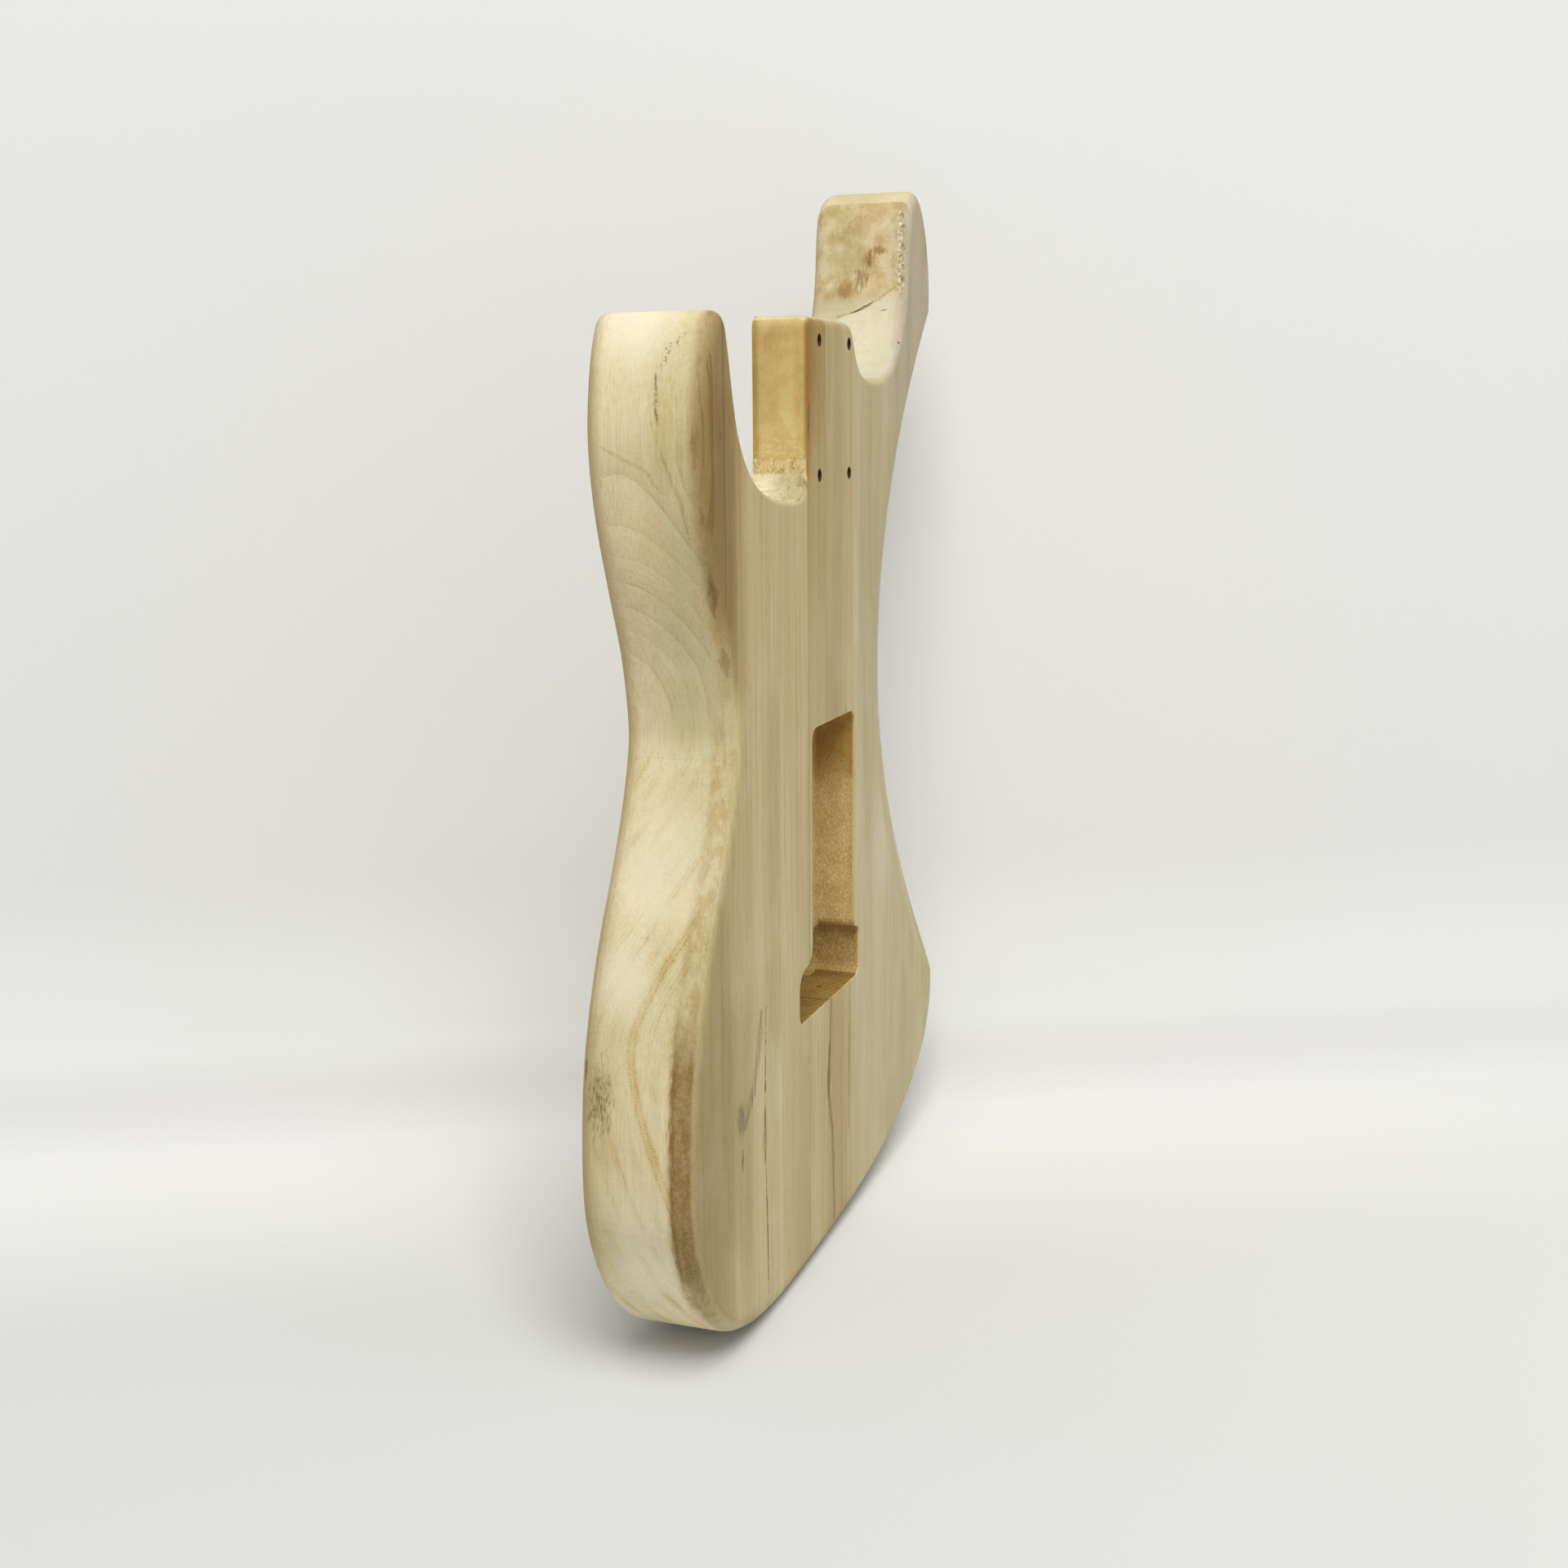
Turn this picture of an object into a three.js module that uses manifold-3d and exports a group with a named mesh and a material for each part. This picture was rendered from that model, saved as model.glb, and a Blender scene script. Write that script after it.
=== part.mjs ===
import * as THREE from 'three';
import { mergeVertices } from 'three/addons/utils/BufferGeometryUtils.js';
import Module from 'manifold-3d';

// Solid electric guitar body, glued up from planks on edge, in millimetres.
// It stands on its butt: +Z runs towards the neck, the back faces -Y and the bass side is +X.
// The origin is on the neck centreline, in the middle of the slab, level with the butt's lowest point.

// Slab and outline
const SLAB_THICKNESS = 44.45;
const HALF_WIDTH = 159;
const LIP_HEIGHT = 379.7;
const BASS_CUT_DEPTH = 22.2;
const BASS_HORN_LENGTH = 82.9;
const TREBLE_CUT_DEPTH = 68.3;
const TREBLE_HORN_LENGTH = 65.2;

// Heel, where the neck is screwed on
const TREBLE_HEEL_EDGE = 33.5;
const BASS_HEEL_EDGE = 30;
const HEEL_THICKNESS = 22;
const HEEL_FOOT_RISE = 9.6;
const LIP_CORNER_RADIUS = 4.5;
const BASS_CORNER_WIDTH = 18;

// Rounded edges: on the back they grow from the heel to the bouts, on the front they are even
const HEEL_ROUND = 3.5;
const CUTAWAY_ROUND = 2;
const TIP_ROUND = 5;
const WAIST_ROUND = 5;
const BOUT_ROUND = 8;
const FRONT_ROUND = 8;

// Neck pocket, in the front of the heel
const POCKET_WIDTH = 56;
const POCKET_LENGTH = 76.2;
const POCKET_CORNER_RADIUS = 6;
const POCKET_OPEN_LENGTH = 60.7;

// Neck screw holes, through the heel
const NECK_HOLE_DIAMETER = 4.2;
const NECK_HOLE_SPREAD = 38.1;
const NECK_HOLE_PITCH = 50.8;
const NECK_HOLE_DROP = 8.7;

// Spring cavity, in the back
const SPRING_CAVITY_DEPTH = 16.5;
const SPRING_CAVITY_DROP = 157;
const SPRING_CAVITY_LENGTH = 94.2;
const SPRING_CAVITY_WIDTH = 56.1;
const SPRING_CAVITY_OFFSET = 1.5;
const SPRING_CAVITY_RADIUS = 5.5;

// Block slot below the springs, through the slab
const BLOCK_SLOT_HEIGHT = 22;
const BLOCK_TREBLE_STEP = 16.5;
const BLOCK_BASS_STEP = 6.9;
const BLOCK_TREBLE_RADIUS = 8;
const BLOCK_BASS_RADIUS = 3.4;
const BLOCK_LOWER_RADIUS = 4.5;

// Earth wire hole, in the lower wall of the block slot
const WIRE_HOLE_DIAMETER = 2.4;
const WIRE_HOLE_DEPTH = 22;
const WIRE_HOLE_X = 9;
const WIRE_HOLE_INSET = 10.5;

// Belly contour: a broad scoop off the bass edge of the back
const BELLY_START_X = 52.6;
const BELLY_DROP = 156.7;
const BELLY_RADIUS = 552;
const BELLY_SLOPE = THREE.MathUtils.degToRad(14.04);
const BELLY_LEAN = THREE.MathUtils.degToRad(3.7);

// Forearm contour: a shallow scoop off the bass bout of the front
const FOREARM_START_X = 95;
const FOREARM_DROP = 268;
const FOREARM_RADIUS = 640;
const FOREARM_SLOPE = THREE.MathUtils.degToRad(9.5);
const FOREARM_LEAN = THREE.MathUtils.degToRad(-32);

// Pickup routes, in the front
const PICKUP_ROUTE_LENGTH = 88;
const PICKUP_ROUTE_WIDTH = 24;
const PICKUP_ROUTE_DEPTH = 18;
const PICKUP_ROUTE_RADIUS = 8;
const NECK_PICKUP_DROP = 95;
const MIDDLE_PICKUP_DROP = 155;
const BRIDGE_PICKUP_DROP = 211;
const BRIDGE_PICKUP_TILT = THREE.MathUtils.degToRad(10);

// Control cavity and jack route, in the front
const CONTROL_CAVITY_DEPTH = 36;
const CONTROL_CAVITY_RADIUS = 9;
const JACK_ROUTE_LENGTH = 46;
const JACK_ROUTE_WIDTH = 19;
const JACK_ROUTE_DEPTH = 24;
const JACK_ROUTE_RADIUS = 8;
const JACK_ROUTE_TILT = THREE.MathUtils.degToRad(48);

// Planks, from the treble side to the bass side
const HEEL_STRIP_WIDTH = 21.5;
const CENTRE_PLANK_WIDTH = 35.5;
const TREBLE_INNER_WIDTH = 33.9;
const BASS_INNER_WIDTH = 42.5;

// How far each cutting solid runs past the wood
const OVERRUN = 20;

// Facets
const SPAN_STEPS = 4;
const EDGE_STEPS = 5;
const CORNER_STEPS = 4;
const HOLE_SIDES = 16;
const SCOOP_SIDES = 240;

// A quarter circle's pull towards its corner, as a share of the radius
const ARC_SHARE = 0.5523;

// The most that an edge radius may take of the widest disc that fits into the wood there
const EDGE_FIT_SHARE = 0.95;

// Places that follow from the sizes above
const BACK_Y = -SLAB_THICKNESS / 2;
const FRONT_Y = SLAB_THICKNESS / 2;
const BASS_FLOOR_Z = LIP_HEIGHT - BASS_CUT_DEPTH;
const TREBLE_FLOOR_Z = LIP_HEIGHT - TREBLE_CUT_DEPTH;
const BASS_TIP_Z = BASS_FLOOR_Z + BASS_HORN_LENGTH;
const TREBLE_TIP_Z = TREBLE_FLOOR_Z + TREBLE_HORN_LENGTH;
const CAVITY_TOP_Z = LIP_HEIGHT - SPRING_CAVITY_DROP;
const BLOCK_TOP_Z = CAVITY_TOP_Z - SPRING_CAVITY_LENGTH;
const BLOCK_BOTTOM_Z = BLOCK_TOP_Z - BLOCK_SLOT_HEIGHT;

// Outline points as shares, chosen along each edge.
// Heel corner on the bass side: in from the heel's edge, and down from the lip.
const BASS_CORNER_SHARES = [
  [1, 0], [0.72, 0.01], [0.43, 0.075], [0.19, 0.3], [0, 0.6],
];

// Inside of the bass cutaway: out from the heel to the bass edge, and up from the cutaway floor
const BASS_INNER_SHARES = [
  [0.04, 0.045], [0.11, 0.008], [0.198, 0], [0.307, 0.024], [0.417, 0.09], [0.5, 0.22],
  [0.558, 0.38], [0.586, 0.56], [0.598, 0.77], [0.624, 0.92],
];

// Outer bass edge, down from the horn tip: of the half width, and of the tip's height
const BASS_OUTER_SHARES = [
  [0.735, 0.9985], [0.776, 0.9995], [0.826, 0.987], [0.876, 0.962], [0.907, 0.93],
  [0.916, 0.897], [0.907, 0.863], [0.886, 0.828], [0.853, 0.784], [0.806, 0.728],
  [0.748, 0.66], [0.698, 0.592], [0.67, 0.528], [0.669, 0.498], [0.682, 0.456],
  [0.719, 0.41], [0.776, 0.36], [0.842, 0.312],
];

// Bass bout down to the lowest point of the butt: of the half width, and of the lip height
const BASS_BOUT_SHARES = [
  [0.906, 0.302], [0.958, 0.253], [0.99, 0.213], [1, 0.181], [0.985, 0.146],
  [0.938, 0.114], [0.865, 0.0855], [0.76, 0.061], [0.62, 0.0395], [0.44, 0.0215],
  [0.24, 0.0105], [0.03, 0.0045], [-0.16, 0.0015],
];

// Treble bout from the lowest point up to the waist: of the half width, and of the lip height
const TREBLE_BOUT_SHARES = [
  [-0.34, 0], [-0.48, 0.0025], [-0.61, 0.0105], [-0.73, 0.0275], [-0.822, 0.053],
  [-0.896, 0.0855], [-0.955, 0.127], [-0.99, 0.169], [-1, 0.209], [-0.995, 0.2665],
  [-0.974, 0.3255], [-0.932, 0.382], [-0.872, 0.439], [-0.799, 0.494], [-0.736, 0.551],
];

// Outer treble edge, up from the waist: of the half width, and of the tip's height
const TREBLE_OUTER_SHARES = [
  [-0.7, 0.606], [-0.702, 0.63], [-0.729, 0.683], [-0.786, 0.743], [-0.841, 0.804],
  [-0.871, 0.857],
];
const TREBLE_TIP_SHARES = [
  [-0.878, 0.898], [-0.864, 0.935], [-0.845, 0.963], [-0.826, 0.98],
];

// Inside of the treble cutaway, down from the tip: out from the heel to the treble edge,
// and up from the cutaway floor
const TREBLE_INNER_SHARES = [
  [0.751, 0.966], [0.728, 0.996], [0.694, 0.996], [0.666, 0.95], [0.644, 0.832],
  [0.6235, 0.68], [0.604, 0.54], [0.578, 0.4], [0.535, 0.275], [0.48, 0.172],
  [0.41, 0.095], [0.33, 0.045], [0.235, 0.012],
];

// Foot of the heel on the treble side: out from the heel's face, and up from the floor
const HEEL_FOOT_SHARES = [
  [1.45, 0], [0.75, 0.12], [0.25, 0.42], [0, 1],
];

// Control cavity corners: of the half width, and of the lip height
const CONTROL_SHARES = [
  [-0.4, 0.46], [-0.6, 0.478], [-0.74, 0.4], [-0.84, 0.28], [-0.8, 0.19], [-0.66, 0.175],
  [-0.6, 0.285], [-0.46, 0.37],
];
const JACK_CENTRE_SHARES = [-0.565, 0.115];

// Height of the waist, of the lip height
const WAIST_SHARE = 0.6;

// What each outer plank takes of the wood beyond the inner planks; its wing takes the rest
const OUTER_PLANK_SHARE = 0.49;

const wasm = await Module();
wasm.setup();

// Turns a closed three.js geometry into a solid that can be joined and cut
function toSolid(geometry) {
  geometry.deleteAttribute('normal');
  geometry.deleteAttribute('uv');
  const merged = mergeVertices(geometry);
  return new wasm.Manifold(new wasm.Mesh({
    numProp: 3,
    vertProperties: new Float32Array(merged.attributes.position.array),
    triVerts: new Uint32Array(merged.index.array),
  }));
}

function toGeometry(solid) {
  const mesh = solid.getMesh();
  const geometry = new THREE.BufferGeometry();
  geometry.setAttribute('position', new THREE.BufferAttribute(mesh.vertProperties, 3));
  geometry.setIndex(new THREE.BufferAttribute(mesh.triVerts, 1));
  geometry.computeVertexNormals();
  return geometry;
}

// Places a run of share points and gives each its edge radii on the back and on the front
function edgeRun({ shares, origin, size, back, front }) {
  return shares.map(([xShare, zShare], index) => ({
    point: new THREE.Vector2(origin.x + xShare * size.x, origin.y + zShare * size.y),
    back: THREE.MathUtils.lerp(back[0], back[1], index / shares.length),
    front: THREE.MathUtils.lerp(front[0], front[1], index / shares.length),
  }));
}

// The bass half of the curved edge, from the lip to the lowest point of the butt
function bassEdge() {
  return [
    {
      shares: BASS_CORNER_SHARES,
      origin: new THREE.Vector2(BASS_HEEL_EDGE, LIP_HEIGHT),
      size: new THREE.Vector2(-BASS_CORNER_WIDTH, -BASS_CUT_DEPTH),
      back: [HEEL_ROUND, CUTAWAY_ROUND],
      front: [CUTAWAY_ROUND, CUTAWAY_ROUND],
    },
    {
      shares: BASS_INNER_SHARES,
      origin: new THREE.Vector2(BASS_HEEL_EDGE, BASS_FLOOR_Z),
      size: new THREE.Vector2(HALF_WIDTH - BASS_HEEL_EDGE, BASS_HORN_LENGTH),
      back: [CUTAWAY_ROUND, TIP_ROUND],
      front: [CUTAWAY_ROUND, FRONT_ROUND],
    },
    {
      shares: BASS_OUTER_SHARES,
      origin: new THREE.Vector2(0, 0),
      size: new THREE.Vector2(HALF_WIDTH, BASS_TIP_Z),
      back: [TIP_ROUND, WAIST_ROUND],
      front: [FRONT_ROUND, FRONT_ROUND],
    },
    {
      shares: BASS_BOUT_SHARES,
      origin: new THREE.Vector2(0, 0),
      size: new THREE.Vector2(HALF_WIDTH, LIP_HEIGHT),
      back: [WAIST_ROUND, BOUT_ROUND],
      front: [FRONT_ROUND, FRONT_ROUND],
    },
  ].flatMap(edgeRun);
}

// The treble half, from the lowest point of the butt to the heel's foot
function trebleEdge() {
  return [
    {
      shares: TREBLE_BOUT_SHARES,
      origin: new THREE.Vector2(0, 0),
      size: new THREE.Vector2(HALF_WIDTH, LIP_HEIGHT),
      back: [BOUT_ROUND, WAIST_ROUND],
      front: [FRONT_ROUND, FRONT_ROUND],
    },
    {
      shares: TREBLE_OUTER_SHARES,
      origin: new THREE.Vector2(0, 0),
      size: new THREE.Vector2(HALF_WIDTH, TREBLE_TIP_Z),
      back: [WAIST_ROUND, TIP_ROUND],
      front: [FRONT_ROUND, FRONT_ROUND],
    },
    {
      shares: TREBLE_TIP_SHARES,
      origin: new THREE.Vector2(0, 0),
      size: new THREE.Vector2(HALF_WIDTH, TREBLE_TIP_Z),
      back: [TIP_ROUND, TIP_ROUND],
      front: [FRONT_ROUND, TIP_ROUND],
    },
    {
      shares: TREBLE_INNER_SHARES,
      origin: new THREE.Vector2(-TREBLE_HEEL_EDGE, TREBLE_FLOOR_Z),
      size: new THREE.Vector2(TREBLE_HEEL_EDGE - HALF_WIDTH, TREBLE_HORN_LENGTH),
      back: [TIP_ROUND, CUTAWAY_ROUND],
      front: [TIP_ROUND, CUTAWAY_ROUND],
    },
    {
      shares: HEEL_FOOT_SHARES,
      origin: new THREE.Vector2(-TREBLE_HEEL_EDGE, TREBLE_FLOOR_Z),
      size: new THREE.Vector2(-HEEL_FOOT_RISE, HEEL_FOOT_RISE),
      back: [CUTAWAY_ROUND, HEEL_ROUND],
      front: [CUTAWAY_ROUND, CUTAWAY_ROUND],
    },
  ].flatMap(edgeRun);
}

// Samples the curved edge, with more points where its control points lie closer
function sampleCurvedEdge() {
  const controls = [...bassEdge(), ...trebleEdge()];
  const points = controls.map(({ point }) => new THREE.Vector3(point.x, point.y, 0));
  const curve = new THREE.CatmullRomCurve3(points, false, 'centripetal');
  const steps = (controls.length - 1) * SPAN_STEPS;
  return curve.getPoints(steps).map((sample, index) => {
    const from = controls[Math.floor(index / SPAN_STEPS)];
    const to = controls[Math.min(Math.floor(index / SPAN_STEPS) + 1, controls.length - 1)];
    const share = (index % SPAN_STEPS) / SPAN_STEPS;
    return {
      point: new THREE.Vector2(sample.x, sample.y),
      back: THREE.MathUtils.lerp(from.back, to.back, share),
      front: THREE.MathUtils.lerp(from.front, to.front, share),
    };
  });
}

// The rounded corner between the heel's treble face and the lip
function lipCorner() {
  const centre = new THREE.Vector2(
    -TREBLE_HEEL_EDGE + LIP_CORNER_RADIUS, LIP_HEIGHT - LIP_CORNER_RADIUS);
  const samples = [];
  for (let step = 0; step <= CORNER_STEPS; step += 1) {
    const angle = Math.PI - (step / CORNER_STEPS) * Math.PI / 2;
    const offset = new THREE.Vector2(Math.cos(angle), Math.sin(angle));
    samples.push({
      point: offset.multiplyScalar(LIP_CORNER_RADIUS).add(centre),
      back: HEEL_ROUND,
      front: CUTAWAY_ROUND,
    });
  }
  return samples;
}

// The whole outline, anticlockwise as the back is seen, each point with its edge radius
function bodyOutline() {
  return fitEdges([...lipCorner(), ...sampleCurvedEdge()].reverse());
}

// Draws an edge radius in where the wood is too narrow for it, as at the tip of a slim horn.
// The widest disc that touches the outline at a point and stays within it sets the limit.
function fitEdges(outline) {
  const normals = inwardNormals(outline);
  return outline.map(({ point, back, front }, index) => {
    const widest = outline.reduce((least, other) => {
      const chord = other.point.clone().sub(point);
      const depth = chord.dot(normals[index]);
      return depth > 0 ? Math.min(least, chord.lengthSq() / (2 * depth)) : least;
    }, Infinity);
    const limit = EDGE_FIT_SHARE * widest;
    return { point, back: Math.min(back, limit), front: Math.min(front, limit) };
  });
}

// Directions at right angles to the outline, into the wood
function inwardNormals(outline) {
  return outline.map((_, index) => {
    const before = outline[(index + outline.length - 1) % outline.length].point;
    const here = outline[index].point;
    const after = outline[(index + 1) % outline.length].point;
    const arriving = here.clone().sub(before).normalize();
    const leaving = after.clone().sub(here).normalize();
    const along = arriving.add(leaving).normalize();
    return new THREE.Vector2(-along.y, along.x);
  });
}

// One ring of the slab: the outline drawn in by its edge radius, at a turn of that radius.
// Side is -1 for the back face and 1 for the front face.
function slabRing(outline, normals, side, turn) {
  return outline.map(({ point, back, front }, index) => {
    const round = side < 0 ? back : front;
    const inset = round * (1 - Math.cos(turn));
    const height = SLAB_THICKNESS / 2 - round * (1 - Math.sin(turn));
    const drawn = point.clone().addScaledVector(normals[index], inset);
    return new THREE.Vector3(drawn.x, side * height, drawn.y);
  });
}

// The slab with both edges rounded, as rings from the back face to the front face
function roundedSlab() {
  const outline = bodyOutline();
  const normals = inwardNormals(outline);
  const turns = [];
  for (let step = 0; step <= EDGE_STEPS; step += 1) {
    turns.push((step / EDGE_STEPS) * Math.PI / 2);
  }
  const back = turns.map((turn) => slabRing(outline, normals, -1, turn)).reverse();
  const front = turns.map((turn) => slabRing(outline, normals, 1, turn));
  return loftRings([...back, ...front]);
}

// Joins rings of equal length into one closed body, with a flat cap at each end
function loftRings(rings) {
  const count = rings[0].length;
  const indices = [];
  for (let ring = 0; ring < rings.length - 1; ring += 1) {
    for (let index = 0; index < count; index += 1) {
      const next = (index + 1) % count;
      const a = ring * count + index;
      const b = ring * count + next;
      const c = (ring + 1) * count + next;
      const d = (ring + 1) * count + index;
      indices.push(a, d, c, a, c, b);
    }
  }
  const last = (rings.length - 1) * count;
  const backFaces = THREE.ShapeUtils.triangulateShape(
    rings[0].map((vertex) => new THREE.Vector2(vertex.x, vertex.z)), []);
  const frontFaces = THREE.ShapeUtils.triangulateShape(
    rings[rings.length - 1].map((vertex) => new THREE.Vector2(vertex.x, vertex.z)), []);
  backFaces.forEach(([a, b, c]) => indices.push(a, b, c));
  frontFaces.forEach(([a, b, c]) => indices.push(last + a, last + c, last + b));
  const geometry = new THREE.BufferGeometry().setFromPoints(rings.flat());
  geometry.setIndex(indices);
  return toSolid(geometry);
}

// A closed shape through corners given as x, z and corner radius
function roundedShape(corners) {
  const shape = new THREE.Shape();
  corners.forEach(([x, z, radius], index) => {
    const corner = new THREE.Vector2(x, z);
    const before = corners[(index + corners.length - 1) % corners.length];
    const after = corners[(index + 1) % corners.length];
    const start = new THREE.Vector2(before[0], before[1]).sub(corner);
    const end = new THREE.Vector2(after[0], after[1]).sub(corner);
    start.setLength(radius).add(corner);
    end.setLength(radius).add(corner);
    const pullStart = start.clone().lerp(corner, ARC_SHARE);
    const pullEnd = end.clone().lerp(corner, ARC_SHARE);
    if (index === 0) {
      shape.moveTo(start.x, start.y);
    } else {
      shape.lineTo(start.x, start.y);
    }
    shape.bezierCurveTo(pullStart.x, pullStart.y, pullEnd.x, pullEnd.y, end.x, end.y);
  });
  return shape;
}

// A cutter of the given shape in X and Z, square to the faces, between two depths
function faceCutter(shape, fromY, toY) {
  const geometry = new THREE.ExtrudeGeometry(shape, {
    depth: toY - fromY,
    bevelEnabled: false,
    curveSegments: CORNER_STEPS,
  });
  geometry.rotateX(Math.PI / 2);
  geometry.translate(0, toY, 0);
  return toSolid(geometry);
}

// A rounded rectangle about its own centre, turned and then placed
function rectangleCutter(length, width, radius, tilt, centre, fromY, toY) {
  const halfLength = length / 2;
  const halfWidth = width / 2;
  const corners = [
    [-halfLength, -halfWidth], [halfLength, -halfWidth],
    [halfLength, halfWidth], [-halfLength, halfWidth],
  ].map(([x, z]) => {
    const corner = new THREE.Vector2(x, z).rotateAround(new THREE.Vector2(0, 0), tilt);
    return [corner.x + centre.x, corner.y + centre.y, radius];
  });
  return faceCutter(roundedShape(corners), fromY, toY);
}

// A box between two corners
function boxSolid(from, to) {
  const size = new THREE.Vector3().subVectors(to, from);
  const centre = new THREE.Vector3().addVectors(to, from).multiplyScalar(1 / 2);
  const geometry = new THREE.BoxGeometry(size.x, size.y, size.z);
  geometry.translate(centre.x, centre.y, centre.z);
  return toSolid(geometry);
}

// A broad round scoop that leaves the face at one place and deepens towards the bass edge.
// Side is -1 for the back face and 1 for the front face.
function scoopCutter({ x, z, radius, slope, lean, side }) {
  const outward = new THREE.Vector3(Math.cos(lean), 0, Math.sin(lean));
  const across = new THREE.Vector3(-Math.sin(lean), 0, Math.cos(lean));
  const faceNormal = new THREE.Vector3(0, side, 0);
  const ruling = outward.clone().multiplyScalar(Math.cos(slope))
    .addScaledVector(faceNormal, -Math.sin(slope));
  const away = outward.clone().multiplyScalar(Math.sin(slope))
    .addScaledVector(faceNormal, Math.cos(slope));
  const start = new THREE.Vector3(x, side * SLAB_THICKNESS / 2, z);
  const centre = start.addScaledVector(away, radius);
  const depthAxis = new THREE.Vector3().crossVectors(across, ruling);
  const placement = new THREE.Matrix4().makeBasis(across, ruling, depthAxis).setPosition(centre);
  const reach = 2 * HALF_WIDTH + OVERRUN;
  const geometry = new THREE.CylinderGeometry(radius, radius, reach, SCOOP_SIDES);
  geometry.applyMatrix4(placement);
  return toSolid(geometry);
}

function bellyContour() {
  return scoopCutter({
    x: BELLY_START_X,
    z: LIP_HEIGHT - BELLY_DROP,
    radius: BELLY_RADIUS,
    slope: BELLY_SLOPE,
    lean: BELLY_LEAN,
    side: -1,
  });
}

function forearmContour() {
  return scoopCutter({
    x: FOREARM_START_X,
    z: LIP_HEIGHT - FOREARM_DROP,
    radius: FOREARM_RADIUS,
    slope: FOREARM_SLOPE,
    lean: FOREARM_LEAN,
    side: 1,
  });
}

// The neck pocket: open at the lip, and on the treble side down to its open length
function neckPocket() {
  const floorY = BACK_Y + HEEL_THICKNESS;
  const endZ = LIP_HEIGHT - POCKET_LENGTH;
  const openZ = LIP_HEIGHT - POCKET_OPEN_LENGTH;
  const topZ = LIP_HEIGHT + OVERRUN;
  const half = POCKET_WIDTH / 2;
  const pocket = faceCutter(roundedShape([
    [-half, endZ, POCKET_CORNER_RADIUS], [half, endZ, POCKET_CORNER_RADIUS],
    [half, topZ, 0], [-half, topZ, 0],
  ]), floorY, FRONT_Y + OVERRUN);
  const trebleOpening = boxSolid(
    new THREE.Vector3(-TREBLE_HEEL_EDGE - POCKET_CORNER_RADIUS, floorY, openZ),
    new THREE.Vector3(0, FRONT_Y + OVERRUN, topZ));
  return pocket.add(trebleOpening);
}

// Four screw holes through the heel, into the neck pocket
function neckScrewHoles() {
  const lowerZ = LIP_HEIGHT - NECK_HOLE_DROP - NECK_HOLE_PITCH;
  const radius = NECK_HOLE_DIAMETER / 2;
  const length = HEEL_THICKNESS + OVERRUN;
  const holes = [];
  [-1, 1].forEach((side) => {
    [0, 1].forEach((row) => {
      const geometry = new THREE.CylinderGeometry(radius, radius, length, HOLE_SIDES);
      const centreY = BACK_Y + HEEL_THICKNESS / 2;
      geometry.translate(side * NECK_HOLE_SPREAD / 2, centreY, lowerZ + row * NECK_HOLE_PITCH);
      holes.push(toSolid(geometry));
    });
  });
  return holes.reduce((joined, hole) => joined.add(hole));
}

// The spring cavity and, below it, the wider slot for the bridge block
function springCavity() {
  const treble = -SPRING_CAVITY_OFFSET - SPRING_CAVITY_WIDTH / 2;
  const bass = -SPRING_CAVITY_OFFSET + SPRING_CAVITY_WIDTH / 2;
  const wideTreble = treble - BLOCK_TREBLE_STEP;
  const wideBass = bass + BLOCK_BASS_STEP;
  const cavity = roundedShape([
    [treble, CAVITY_TOP_Z, SPRING_CAVITY_RADIUS],
    [treble, BLOCK_TOP_Z, BLOCK_TREBLE_RADIUS],
    [wideTreble, BLOCK_TOP_Z, BLOCK_TREBLE_RADIUS],
    [wideTreble, BLOCK_BOTTOM_Z, BLOCK_LOWER_RADIUS],
    [wideBass, BLOCK_BOTTOM_Z, BLOCK_LOWER_RADIUS],
    [wideBass, BLOCK_TOP_Z, BLOCK_BASS_RADIUS],
    [bass, BLOCK_TOP_Z, BLOCK_BASS_RADIUS],
    [bass, CAVITY_TOP_Z, SPRING_CAVITY_RADIUS],
  ]);
  const slot = roundedShape([
    [wideTreble, BLOCK_TOP_Z, BLOCK_TREBLE_RADIUS],
    [wideTreble, BLOCK_BOTTOM_Z, BLOCK_LOWER_RADIUS],
    [wideBass, BLOCK_BOTTOM_Z, BLOCK_LOWER_RADIUS],
    [wideBass, BLOCK_TOP_Z, BLOCK_BASS_RADIUS],
  ]);
  const floorY = BACK_Y + SPRING_CAVITY_DEPTH;
  return faceCutter(cavity, BACK_Y - OVERRUN, floorY)
    .add(faceCutter(slot, BACK_Y - OVERRUN, FRONT_Y + OVERRUN));
}

function wireHole() {
  const radius = WIRE_HOLE_DIAMETER / 2;
  const length = WIRE_HOLE_DEPTH + BLOCK_SLOT_HEIGHT / 2;
  const geometry = new THREE.CylinderGeometry(radius, radius, length, HOLE_SIDES);
  geometry.rotateX(Math.PI / 2);
  const centreZ = BLOCK_BOTTOM_Z - WIRE_HOLE_DEPTH + length / 2;
  geometry.translate(WIRE_HOLE_X, BACK_Y + WIRE_HOLE_INSET, centreZ);
  return toSolid(geometry);
}

function pickupRoute(drop, tilt) {
  return rectangleCutter(PICKUP_ROUTE_LENGTH, PICKUP_ROUTE_WIDTH, PICKUP_ROUTE_RADIUS, tilt,
    new THREE.Vector2(0, LIP_HEIGHT - drop), FRONT_Y - PICKUP_ROUTE_DEPTH, FRONT_Y + OVERRUN);
}

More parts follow.
